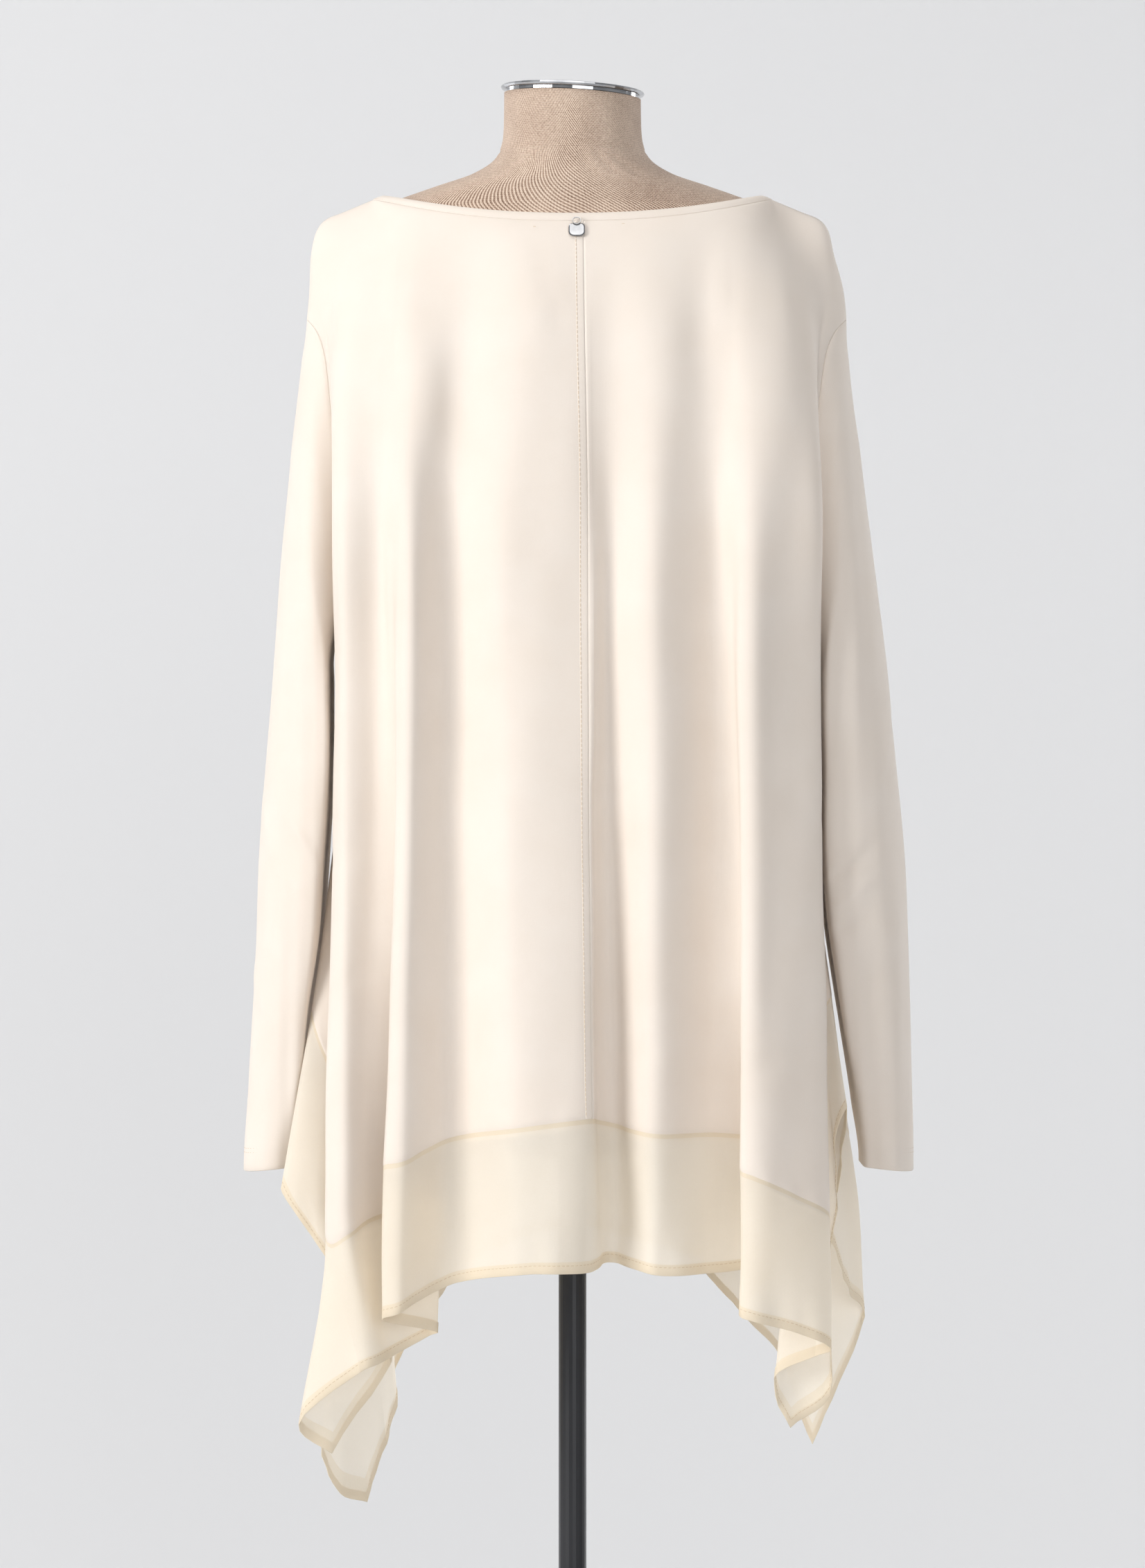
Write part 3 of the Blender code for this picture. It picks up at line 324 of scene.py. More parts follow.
def neckline(angle):
    """The neck opening's edge: angle 0 at the right shoulder, pi/2 at the back, -pi/2 at the front."""
    sine, cosine = math.sin(angle), math.cos(angle)
    back = sine >= 0
    x = NECK_HALF_WIDTH * math.copysign(abs(cosine) ** NECK_SQUARENESS, cosine)
    reach = NECK_BACK_Y if back else NECK_FRONT_Y
    y = SHOULDER_Y + (reach - SHOULDER_Y) * abs(sine)
    low = NECK_BACK_Z if back else NECK_FRONT_Z
    z = low + (NECK_SHOULDER_Z - low) * abs(cosine) ** 2
    return np.array([x, y, z])


def neck_fall(angle):
    """Unit direction down the cloth from the neck edge."""
    sine, cosine = math.sin(angle), math.cos(angle)
    return unit(np.array([0.95 * cosine, -0.55 * sine, -0.30 - 0.50 * abs(sine)]))


def neck_normal(angle):
    """Unit normal of the cloth at the neck's edge."""
    along = neckline(angle + 0.01) - neckline(angle - 0.01)
    normal = np.cross(along, neck_fall(angle))
    return unit(normal * math.copysign(1.0, normal[2]))


def neck_seam(angle):
    return neckline(angle) + neck_fall(angle) * NECKBAND_WIDTH


def shoulder_seam(side):
    """From the sleeve seam up over the shoulder's tip to the neckband."""
    out = SLEEVES[0][2] if side > 0 else SLEEVES[0][1]
    neck = neck_seam(0.0)
    rows = [(out, SLEEVE_TOP_Z / MM), (out - SHOULDER_START[0], SHOULDER_START[1])]
    rows += [*SHOULDER_RISE, (neck[0] / MM, neck[2] / MM)]
    shares = [(k // 4, (k % 4) / 4) for k in range(4 * (len(rows) - 1))] + [(len(rows) - 2, 1.0)]
    curve = smooth_rows(rows, shares) * MM
    return np.array([(side * x, SHOULDER_Y, z) for x, z in curve])


def armhole(side, facing, share):
    """A point of the armhole seam: share 0 at the shoulder, 1 at the underarm; facing -1 is the back."""
    angle = math.pi * share
    out = (SLEEVES[0][2] if side > 0 else SLEEVES[0][1]) * MM
    edge = FALLS[fall_index("side_right" if side > 0 else "side_left")]
    under = abs(edge[1]) * MM
    raised = (1 + math.cos(angle)) / 2
    tip = max(0.0, math.cos(angle)) ** 8            # only close to the shoulder
    x = under + (out - under) * (ARMHOLE_SLANT * raised + (1 - ARMHOLE_SLANT) * tip)
    round_out = abs(math.sin(angle)) ** ARMHOLE_ROUNDNESS
    y = SHOULDER_Y * (1 - share) + facing * ARMHOLE_HALF_DEPTH * round_out
    z = UNDERARM_Z + (SLEEVE_TOP_Z - UNDERARM_Z) * raised
    return np.array([side * x, y, z])


def yoke_grid(bottom, start_side, facing, bulge, pinned=None):
    """The panel above the underarm: a patch between neck and shoulders, armholes and underarm level.

    Also gives the neck columns' angles, in order. pinned holds a column and its x at the neck.
    """
    across = length_shares(bottom)
    first, last = SHOULDER_COLUMNS, len(bottom) - 1 - SHOULDER_COLUMNS
    turn = np.linspace(0.0, math.pi, 361)
    if start_side < 0:
        turn = math.pi - turn
    neck = np.array([neck_seam(-facing * a) for a in turn])
    middle = (across[first:last + 1] - across[first]) / (across[last] - across[first])
    if pinned:
        order = neck[:, 0] * -start_side
        share = np.interp(pinned[1] * -start_side, order, length_shares(neck))
        middle = np.interp(middle, [0, middle[pinned[0] - first], 1], [0, share, 1])
    angles = -facing * np.interp(middle, length_shares(neck), turn)
    top = np.zeros_like(bottom)
    even = np.linspace(0.0, 1.0, SHOULDER_COLUMNS + 1)
    top[:first + 1] = resample(shoulder_seam(start_side), even)
    top[first:last + 1] = [neck_seam(a) for a in angles]
    top[last:] = resample(shoulder_seam(-start_side)[::-1], even)
    drop = top - soften(bottom, across, FOLD_FADE)
    u = across[:, None]
    grid = np.zeros((len(bottom), YOKE_ROWS + 1, 3))
    for j in range(YOKE_ROWS + 1):
        v = j / YOKE_ROWS
        raised = (1 + math.cos(math.pi * v)) / 2
        ease = np.array([raised ** 2, raised ** 2, raised])
        row = soften(bottom, across, FOLD_FADE * raised)
        row += ease * soften(drop, across, NECK_FADE * math.sqrt(1 - raised))
        left = armhole(start_side, facing, v) - row[0]
        right = armhole(-start_side, facing, v) - row[-1]
        grid[:, j] = row + (1 - u) ** PANEL_EDGE_POWER * left + u ** PANEL_EDGE_POWER * right
        swell = SWELL_PEAK * (1 - raised) * raised ** 2 * (4 * across * (1 - across)) ** SWELL_SPREAD
        grid[:, j, 1] += facing * bulge * swell
    return grid, angles


def panel_grid(first, last, start_side, facing, bulge):
    """One whole panel, back or front: yoke, skirt and sheer band in one grid of columns."""
    shares = ring_shares(first, last)
    columns = fall_columns(shares)
    under = np.full(len(columns), UNDERARM_Z)
    edge, hem = columns[:, 4], columns[:, 7]
    seam = shares.index((fall_index("centre_back"), 0.0)) if facing < 0 else None
    pinned = (seam, CENTRE_BACK_X) if seam else None
    yoke, neck_angles = yoke_grid(column_points(columns, under), start_side, facing, bulge, pinned)
    heights = [under + (edge - under) * k / SKIRT_ROWS for k in range(1, SKIRT_ROWS + 1)]
    heights += [edge + (hem - edge) * k / BAND_ROWS for k in range(1, BAND_ROWS + 1)]
    rows = [column_points(columns, height) for height in heights]
    grid = np.concatenate([yoke, np.stack(rows, axis=1)], axis=1)
    return shares, grid, neck_angles


# ---------------------------------------------------------------- meshes
def link(made):
    bpy.context.scene.collection.objects.link(made)
    return made


def add_mesh(name, vertices, faces, finish, uv=None):
    mesh = bpy.data.meshes.new(name)
    mesh.from_pydata(np.asarray(vertices, float).tolist(), [], faces)
    for look in (finish if isinstance(finish, list) else [finish]):
        mesh.materials.append(look)
    if uv is not None:
        layer = mesh.uv_layers.new(name="cloth")
        corners = np.zeros(len(mesh.loops), dtype=int)
        mesh.loops.foreach_get("vertex_index", corners)
        layer.data.foreach_set("uv", np.asarray(uv, float).reshape(-1, 2)[corners].ravel())
    mesh.shade_smooth()
    mesh.update()
    made = link(bpy.data.objects.new(name, mesh))
    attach(made, "root")
    return made


def stand_for(node):
    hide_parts(node)


def grid_faces(columns, rows, closed=False):
    faces = []
    for i in range(columns if closed else columns - 1):
        n = (i + 1) % columns
        for j in range(rows - 1):
            faces.append((i * rows + j, i * rows + j + 1, n * rows + j + 1, n * rows + j))
    return faces


def cloth_uv(grid):
    """Lengths along the cloth in metres: across from the first column, and down from the first row."""
    across = np.cumsum(np.linalg.norm(np.diff(grid, axis=0, prepend=grid[:1]), axis=2).mean(axis=1))
    down = np.cumsum(np.linalg.norm(np.diff(grid, axis=1, prepend=grid[:, :1]), axis=2), axis=1)
    return np.stack([np.broadcast_to(across[:, None], down.shape), down], axis=2)


def panel(name, grid, finish, thickness, closed=False):
    """A thin shell of cloth on a grid of points."""
    made = add_mesh(name, grid.reshape(-1, 3), grid_faces(*grid.shape[:2], closed), finish, cloth_uv(grid))
    if thickness:
        shell = made.modifiers.new("cloth", "SOLIDIFY")
        shell.thickness = thickness
        shell.offset = 0.0
        shell.use_even_offset = False
    return made


# ---------------------------------------------------------------- drape and creases
CREASE_ENDS = 0.6               # lower is fuller towards a crease's ends
# Soft creases, in millimetres: the panel, from one place to another across and up, half width,
# and depth, below 0 for a ridge.
CREASES = (
    # panel    x_a    z_a   x_b    z_b  half  depth
    ("back",    14,   990,   30,   987,  3.0,  1.0),
    ("back",    30,   987,   45,   992,  3.0,  0.9),
    ("back",   -12,  1326,   -8,  1320,  4.0,  0.9),
    ("back",   -20,  1330,  -12,  1333,  3.5, -0.5),
    ("back",   -26,  1384,   -9,  1300,  7.0,  0.5),
    ("back",   174,  1300,  120,  1330, 16.0,  0.9),
    ("back",   172,  1278,  118,  1296, 14.0,  0.7),
    ("back",  -172,  1290, -128,  1318, 14.0,  0.8),
    ("back",   176,   960,  150,   990, 12.0,  1.0),
    ("back",  -170,   930, -150,   955, 10.0,  0.9),
    ("back",  -165,   850, -150,   862,  8.0,  1.2),
    ("back",    40,   800,   62,   810,  8.0,  0.8),
    ("back",   -70,   860,  -50,   868,  9.0,  0.6),
    ("back",   120,   792,  150,   800,  9.0,  0.9),
    ("back",   104,  1165,  103,   770, 16.0,  3.6),
    ("back",    84,  1300,   92,  1200, 17.0, -1.8),
    ("back",   128,  1200,  127,   785, 10.0, -3.2),
    ("back",    24,  1010,   25,   765, 11.0,  4.2),
    ("back",   -86,  1130,  -85,   780, 13.0,  1.6),
    ("back",  -103,  1312, -103,  1225, 17.0, -3.2),
    ("back",  -112,  1190, -121,   790,  9.0, -1.4),
    ("back",    60,  1150,   58,   775, 13.0, -1.4),
    ("back",  -140,  1200, -138,   870,  9.0,  1.6),
    ("front",  150,  1290,   95,  1316, 15.0,  1.0),
    ("front", -150,  1284,  -98,  1312, 15.0,  1.0),
    ("front",   70,  1225,   20,  1238, 14.0,  0.7),
    ("front",  -70,  1218,  -24,  1236, 14.0,  0.7),
    ("front",   30,   952,   62,   958,  7.0,  0.9),
    ("front",  -50,   905,  -20,   898,  8.0,  0.8),
    ("front",   90,   840,  112,   852,  9.0,  1.0),
    ("front",  -10,   800,   20,   792,  8.0,  0.7),
    ("front", -120,   960, -100,   972,  8.0,  0.8),
)
# Long uneven waves of the cloth: lengths across and down in millimetres, size, and turn at which
# they start.
WAVES = (
    # across  down  size  turn
    (62,    410,  0.30,  0.4),
    (101,  -300,  0.34,  1.9),
    (39,    230,  0.16,  3.1),
    (150,   170,  0.30,  5.0),
    (75,   -120,  0.14,  2.3),
)
DRAPE_FADE = (10 * MM, 90 * MM)     # below the neck and shoulder, where the waves grow
SEAM_WAVES = ((23, 0.24, 0.3), (37, 0.26, 2.1), (61, 0.30, 4.4))    # length, size, turn
SEAM_REACH = 9 * MM
HEM_WAVES = ((27, 0.55, 1.2), (44, 0.75, 3.9), (83, 0.8, 0.7))
HEM_REACH = 26 * MM
WAVE_ENDS = 12 * MM             # over which small waves die away at a row's ends
WAVE_DRIFT = (0.8, 3.7)         # how much, and over how many lengths, their spacing changes


def beside_crease(points, start, end, half):
    """How near points lie to a crease's line, from 0 to 1, and how far along it."""
    line = end - start
    away = points - start
    along = np.clip(away @ line / (line @ line), 0, 1)
    off = np.linalg.norm(away - along[..., None] * line, axis=-1) / half
    return np.exp(-off ** 2), along


def arch(along):
    """0 at both ends of a crease, 1 in its middle."""
    return np.sin(np.pi * np.clip(along, 0.02, 0.98))


def drape(grid, panel_name, turn):
    """The cloth's own unevenness: long waves and soft creases, moved along its normals."""
    uv = cloth_uv(grid)
    move = np.zeros(grid.shape[:2])
    for across, down, size, start in WAVES:
        phase = 2 * np.pi * (uv[:, :, 0] / across + uv[:, :, 1] / down) / MM + start + turn
        move += size * np.sin(phase)
    move *= smoothstep(*DRAPE_FADE, uv[:, :, 1])
    for name, x_a, z_a, x_b, z_b, half, depth in CREASES:
        if name == panel_name:
            ends = np.array([(x_a, z_a), (x_b, z_b)]) * MM
            near, along = beside_crease(grid[:, :, [0, 2]], *ends, half * MM)
            move -= depth * near * arch(along) ** CREASE_ENDS
    return grid + grid_normals(grid) * (move * MM)[:, :, None]


def ripple(grid, row, waves, reach, turn):
    """Small waves along a seam or hem row, which die away from it."""
    down = cloth_uv(grid)[:, :, 1]
    along = lengths(grid[:, row])
    fade = np.exp(-((down - down[:, row][:, None]) / reach) ** 2)
    much, over = WAVE_DRIFT
    move = np.zeros(len(along))
    for length, size, start in waves:
        drift = much * np.sin(2 * np.pi * along / (length * over * MM) + turn)
        move += size * np.sin(2 * np.pi * along / (length * MM) + start + turn + drift)
    move *= np.minimum(1, np.minimum(along, along[-1] - along) / WAVE_ENDS)
    return grid + grid_normals(grid) * (fade * move[:, None] * MM)[:, :, None]


def smooth_underarm(grid):
    """The change from yoke to skirt spread over a hand's breadth, so that no line shows there."""
    heights = grid[:, :, 2].mean(axis=0)
    near = np.exp(-((heights - UNDERARM_Z) / UNDERARM_BLEND) ** 2)[None, :, None]
    result = grid.copy()
    for _ in range(UNDERARM_PASSES):
        inner = result.copy()
        inner[:, 1:-1] = 0.25 * result[:, :-2] + 0.5 * result[:, 1:-1] + 0.25 * result[:, 2:]
        result = result + (inner - result) * near
    return result


def draped(grid, name, turn, seam_turn, hem_turn):
    """A panel with all its waves and creases; a turn says where its waves start."""
    grid = drape(smooth_underarm(grid), name, turn)
    grid = ripple(grid, SEAM_ROW, SEAM_WAVES, SEAM_REACH, seam_turn)
    return ripple(grid, -1, HEM_WAVES, HEM_REACH, hem_turn)


# ---------------------------------------------------------------- seams, hems and stitches
ALLOWANCE = (1.5 * MM, 3 * MM, 4.5 * MM, 6 * MM)    # rows of the seam allowance below the seam
ALLOWANCE_DEPTH = 0.8 * MM      # how far it lies behind the sheer band
FELL_WIDTH = 6.4 * MM           # the folded allowance beside the centre back seam
FELL_LIFT = 0.5 * MM
FELL_STITCH_AT = 5.5 * MM       # from the centre back seam
FELL_STITCH_LIFT = 0.8          # of the fell's own height
FELL_PROFILE = (                # share of its width, and of its height
    (0.0, 0.1), (0.06, 0.85), (0.2, 1.0), (0.5, 1.05), (0.8, 0.95), (0.95, 0.7), (1.0, 0.08),
)
HEM_DEPTH = 0.45 * MM           # how far the turned hem lies behind the cloth, about
HEM_STITCH_AT = 5.6 * MM        # above the hem's edge
HEM_STITCH_LIFT = 0.06 * MM
# The hem's rows and the seam allowance's rows take the hem's finish: denser chiffon, with painted shade in
# its colour.
HEM_FACES = 2                   # rows of the sheer band that its hem covers
EDGE_FACES = 1                  # rows of it that the seam allowance covers
TURN_ROWS = ((0.6, 0.5), (0.4, 1.2))    # of a turned edge: down and inwards, in depths
TURN_INSIDE = 1.3               # how far inwards it runs back up, in depths
TURN_STEPS = 6
CUFF_HEM = 15 * MM
CUFF_DEPTH = 1.1 * JERSEY_CLOTH
CUFF_STITCHES = (12.6 * MM, 15.6 * MM)
STITCH_LENGTH = 2.5 * MM
STITCH_GAP = 0.9 * MM
STITCH_SIDES = 6
STITCH_RINGS = ((0.0, 0.35), (0.12, 0.85), (0.5, 1.0), (0.88, 0.85), (1.0, 0.35))
THREAD_RADIUS = 0.2 * MM


def rows_at(grid, drop, values=None):
    """Points, or values held at the points, at a length down each column.

    It is counted from the column's top, or if it is 0 or less from the column's end.
    """
    row = []
    for column, held in zip(grid, grid if values is None else values):
        place = lengths(column)[-1] + drop if drop <= 0 else drop
        row.append(at(column, [place], held)[0])
    return np.array(row)


def turn_under(grid, normals, reach, depth):
    """More rows past the grid's lower edge: turned to the inner side and back up, as a hem is."""
    edge, inward = grid[:, -1], -normals[:, -1]
    down = unit(edge - grid[:, -2])
    rows = [edge + down * depth * low + inward * depth * deep for low, deep in TURN_ROWS]
    for step in np.linspace(0.0, reach, TURN_STEPS):
        rows.append(rows_at(grid, -step) + inward * depth * TURN_INSIDE)
    return np.concatenate([grid, np.stack(rows, axis=1)], axis=1)


def with_allowance(grid, band):
    """A jersey panel with its seam allowance, which lies behind the top of the sheer band."""
    normals = grid_normals(band)
    rows = []
    for drop in ALLOWANCE:
        rows.append(rows_at(band, drop) - unit(rows_at(band, drop, normals)) * ALLOWANCE_DEPTH)
    return np.concatenate([grid, np.stack(rows, axis=1)], axis=1)


def stitches(name, path, facing, look, lift, length=STITCH_LENGTH, gap=STITCH_GAP):
    """A row of stitches along a path: short soft-ended threads in one mesh.

    The outward directions are read by the lengths along their own polyline.
    """
    total = lengths(path)[-1]
    count = max(1, int(total // (length + gap)))
    first = (total - count * (length + gap)) / 2 + gap / 2
    turns = 2 * np.pi * np.arange(STITCH_SIDES) / STITCH_SIDES
    last = (len(STITCH_RINGS) - 1) * STITCH_SIDES
    vertices, faces = [], []
    for start in first + np.arange(count) * (length + gap):
        places = np.array([start + length * share for share, _ in STITCH_RINGS])
        points = at(path, places)
        out = unit(at(facing, places))
        across = unit(np.cross(unit(points[-1] - points[0]), out))
        base = len(vertices)
        for k, (share, size) in enumerate(STITCH_RINGS):
            sink = abs(2 * share - 1) ** 3 * THREAD_RADIUS
            for turn in turns:
                rise = out[k] * (lift + THREAD_RADIUS * size * math.cos(turn) - sink)
                vertices.append(points[k] + rise + across[k] * THREAD_RADIUS * size * math.sin(turn))
        for a in range(base, base + last, STITCH_SIDES):
            for side in range(STITCH_SIDES):
                n = (side + 1) % STITCH_SIDES
                faces.append((a + side, a + STITCH_SIDES + side, a + STITCH_SIDES + n, a + n))
        faces.append(tuple(range(base, base + STITCH_SIDES)))
        faces.append(tuple(reversed(range(base + last, base + last + STITCH_SIDES))))
    made = add_mesh(name, vertices, faces, look)
    return made


def beside(grid, normals, column, row, places):
    """Points and directions on one row at lengths from a column, on the side of the lower columns."""
    line, facing = grid[:column + 1, row][::-1], normals[:column + 1, row][::-1]
    return at(line, places), at(line, places, facing)


# ---------------------------------------------------------------- the tunic
PANELS = (
    # piece            node         which   flat size
    ("back_left_cloth", "back_left", "left", (0.30, 0.80)),
    ("back_right_cloth", "back_right", "right", (0.28, 0.78)),
    ("front_cloth", "front", "front", (0.58, 0.80)),
)
STRIPS = (
    # name                   panel    first and last fall line           length
    ("hem_strip_back_left", "back", (None, "back_l_corner"), 0.31),
    ("hem_strip_back", "back", ("back_l_corner", "back_r_corner"), 0.62),
    ("hem_strip_back_right", "back", ("back_r_corner", None), 0.24),
    ("hem_strip_front_right", "front", (None, "front_r_corner"), 0.40),
    ("hem_strip_front", "front", ("front_r_corner", "front_l_corner"), 0.42),
    ("hem_strip_front_left", "front", ("front_l_corner", None), 0.44),
)
NECKBAND_STITCH_AT = 5.6 * MM   # below the neck's edge
NECKBAND_STITCH_LIFT = 0.72 * MM
NECKBAND_PROFILE = (            # millimetres down the cloth, and out of it
    (0.0, -0.9), (0.2, -1.0), (3.5, -1.0), (6.8, -0.8), (7.0, 0.0), (6.8, 0.6), (6.0, 0.85),
    (5.6, 0.72), (5.2, 0.9), (3.5, 1.1), (0.3, 1.0), (-0.3, 0.55), (-0.5, 0.0), (-0.3, -0.6),
)


def build_tunic(finish):
    right = fall_index("side_right")
    back_shares, back, back_neck = panel_grid(0, right, -1, -1, BACK_BULGE)
    front_shares, front, front_neck = panel_grid(right, len(FALLS), 1, 1, FRONT_BULGE)
    back = draped(back, "back", 0.0, 0.0, 0.0)
    front = draped(front, "front", 2.6, 1.7, 2.2)
    below = slice(YOKE_ROWS, None)
    for back_edge, front_edge in ((0, -1), (-1, 0)):
        shared = (back[back_edge, below] + front[front_edge, below]) / 2
        back[back_edge, below], front[front_edge, below] = shared, shared
    middle = back_shares.index((fall_index("centre_back"), 0.0))
    build_panels({"left": back[:middle + 1], "right": back[middle:], "front": front}, middle, finish)
    build_band({"back": (back_shares, back), "front": (front_shares, front)}, finish)
    build_neckband("neckband_back", back_neck, finish)
    build_neckband("neckband_front", front_neck, finish)
    rows = slice(0, YOKE_ROWS + 1)
    for name, side, back_edge, front_edge in (("sleeve_left", -1, 0, -1), ("sleeve_right", 1, -1, 0)):
        hole = np.concatenate([front[front_edge, rows], back[back_edge, rows][::-1][1:-1]])
        build_sleeve(name, side, hole, finish)


def build_panels(grids, middle, finish):
    for name, node, which, flat in PANELS:
        grid = grids[which]
        jersey = grid[:, :SEAM_ROW + 1]
        whole = with_allowance(jersey, grid[:, SEAM_ROW:])
        made = panel(name, whole, finish["jersey"], JERSEY_CLOTH)
        stand_for(node)
        extras = build_centre_seam(jersey, middle, finish) if which == "left" else []


def build_centre_seam(grid, middle, finish):
    """The felled allowance to the left of the centre back seam, and its stitches."""
    normals = grid_normals(grid)
    shares, heights = np.array(FELL_PROFILE).T
    strip, path, facing = [], [], []
    for row in range(grid.shape[1]):
        points, out = beside(grid, normals, middle, row, shares * FELL_WIDTH)
        strip.append(points + unit(out) * (heights * FELL_LIFT)[:, None])
        if row >= 2:
            points, out = beside(grid, normals, middle, row, [FELL_STITCH_AT])
            path.append(points[0])
            facing.append(out[0])
    fell = panel("back_seam_fell", np.stack(strip, axis=1)[::-1], finish["jersey"], 0)
    lift = JERSEY_CLOTH / 2 + FELL_LIFT * FELL_STITCH_LIFT
    row = stitches("back_seam_stitches", np.array(path), np.array(facing), finish["thread"], lift)
    return [fell, row]


def build_band(panels, finish):
    """The sheer band's strips, each with its turned hem and the hem's stitches."""
    for name, which, ends, length in STRIPS:
        shares, grid = panels[which]
        first, last = (shares.index((fall_index(end), 0.0)) if end else None for end in ends)
        part = grid[first:None if last is None else last + 1, SEAM_ROW:]
        normals = grid_normals(part)
        hemmed = turn_under(part, normals, HEM_WIDTH, HEM_DEPTH)
        made = panel(name + "_cloth", hemmed, [finish["chiffon"], finish["hem"]], 0)
        thicken_hem_with_painted_shade(made, hemmed.shape[1], part.shape[1] - 1)
        stand_for(name)
        line = rows_at(part, -HEM_STITCH_AT)
        facing = unit(rows_at(part, -HEM_STITCH_AT, normals))
        row = stitches(name + "_stitches", line, facing, finish["thread"], HEM_STITCH_LIFT)


def thicken_hem_with_painted_shade(made, rows, first_row):
    """A hem and a seam's doubled edge take the second of the piece's two finishes: denser, and darker with
    painted shade of the light held back behind them.
    """
    for index, face in enumerate(made.data.polygons):
        row = index % (rows - 1)
        if row >= first_row - HEM_FACES or row < EDGE_FACES:
            face.material_index = 1


def build_neckband(name, angles, finish):
    rows = []
    for a in angles:
        edge, down, out = neckline(a), neck_fall(a), neck_normal(a)
        rows.append([edge + down * low * MM + out * high * MM for low, high in NECKBAND_PROFILE])
    grid = np.array(rows)
    columns, count = grid.shape[:2]
    faces = []
    for i in range(0, (columns - 1) * count, count):
        for j in range(count):
            k = (j + 1) % count
            faces.append((i + j, i + k, i + count + k, i + count + j))
    faces.append(tuple(range(count)))
    faces.append(tuple(reversed(range((columns - 1) * count, columns * count))))
    made = add_mesh(name + "_cloth", grid.reshape(-1, 3), faces, finish["jersey"], cloth_uv(grid))
    stand_for(name)
    path = np.array([neckline(a) + neck_fall(a) * NECKBAND_STITCH_AT for a in angles])
    facing = np.array([neck_normal(a) for a in angles])
    row = stitches(name + "_stitches", path, facing, finish["thread"], NECKBAND_STITCH_LIFT)


def build_tacks(finish):
    """Two tiny tacks that hold the ends of a hidden tape, below the back neckband."""
    facing = np.array([(0.0, -1.0, 0.35)] * 2)
    for name, x, z in TACKS:
        path = np.array([(x - 1.2, TACK_Y, z), (x + 1.2, TACK_Y, z)]) * MM
        stitches(name, path, facing, finish["thread"], 0.4 * MM, length=2.0 * MM, gap=0.3 * MM)


# ---------------------------------------------------------------- sleeves
# Creases of the sleeves: side (1 right), where round the sleeve (0 out, 0.5 in, 0.75 back) and
# down it (share) they start and end, half width in millimetres, and depth, below 0 for a ridge.
SLEEVE_CREASES = (
    # side  turn_a  down_a  turn_b  down_b  half  depth
    (1,  0.58,  0.500,  0.78,  0.565,  7.0,  2.2),
    (1,  0.56,  0.545,  0.80,  0.610,  6.0, -1.4),
    (1,  0.57,  0.585,  0.74,  0.640,  6.5,  1.9),
    (1,  0.86,  0.520,  0.98,  0.470,  8.0,  1.0),
    (1,  0.66,  0.700,  0.90,  0.760,  9.0,  1.2),
    (1,  0.62,  0.860,  0.84,  0.890,  8.0,  0.9),
    (1,  0.30,  0.500,  0.44,  0.575,  7.0,  1.9),
    (1,  0.14,  0.610,  0.36,  0.660,  8.0,  1.3),
    (-1, 0.62,  0.480,  0.82,  0.530,  8.0,  1.5),
    (-1, 0.72,  0.610,  0.98,  0.570,  9.0,  1.1),
    (-1, 0.80,  0.800,  1.00,  0.760,  8.0,  1.0),
    (-1, 0.28,  0.520,  0.42,  0.580,  7.0,  1.8),
    (-1, 0.10,  0.640,  0.34,  0.690,  8.0,  1.2),
)
SLEEVE_CREASE_ENDS = 0.3        # a sleeve's crease keeps this share of its depth at its ends
SLEEVE_WAVES = 0.8              # size of the long waves on a sleeve
SLEEVE_FADE = (0.05, 0.2)       # shares of its length between which creases and waves grow


def sleeve_place(share):
    """Where a share of the sleeve's length lies in its table, as a row and a fraction."""
    places = [row[0] for row in SLEEVES]
    index = min(int(np.searchsorted(places, share, side="right")) - 1, len(places) - 2)
    return index, (share - places[index]) / (places[index + 1] - places[index])


def sleeve_ring(side, share):
    """A section of the sleeve, from its outer side over the front to the inner side and back."""
    table = np.array([row[1:] for row in SLEEVES], float)
    out_l, out_r, in_l, in_r, depth, tuck, turn = smooth_rows(table, [sleeve_place(share)])[0] * MM
    out, inn = (out_r, in_r) if side > 0 else (out_l, in_l)
    out_z = SLEEVE_TOP_Z + (CUFF_OUT_Z - SLEEVE_TOP_Z) * share
    in_z = UNDERARM_Z + (CUFF_IN_Z - UNDERARM_Z) * share
    angle = np.pi * np.arange(2 * YOKE_ROWS) / YOKE_ROWS
    raised = (1 + np.cos(angle)) / 2
    x = inn + (out - inn) * raised - tuck * np.maximum(0, np.sin(angle)) * (1 - raised)
    power = SLEEVE_ROUNDNESS[0] + (SLEEVE_ROUNDNESS[1] - SLEEVE_ROUNDNESS[0]) * raised
    y = depth * np.sign(np.sin(angle)) * np.abs(np.sin(angle)) ** power - turn * (1 - 2 * raised)
    return np.column_stack([side * x, y, in_z + (out_z - in_z) * raised])


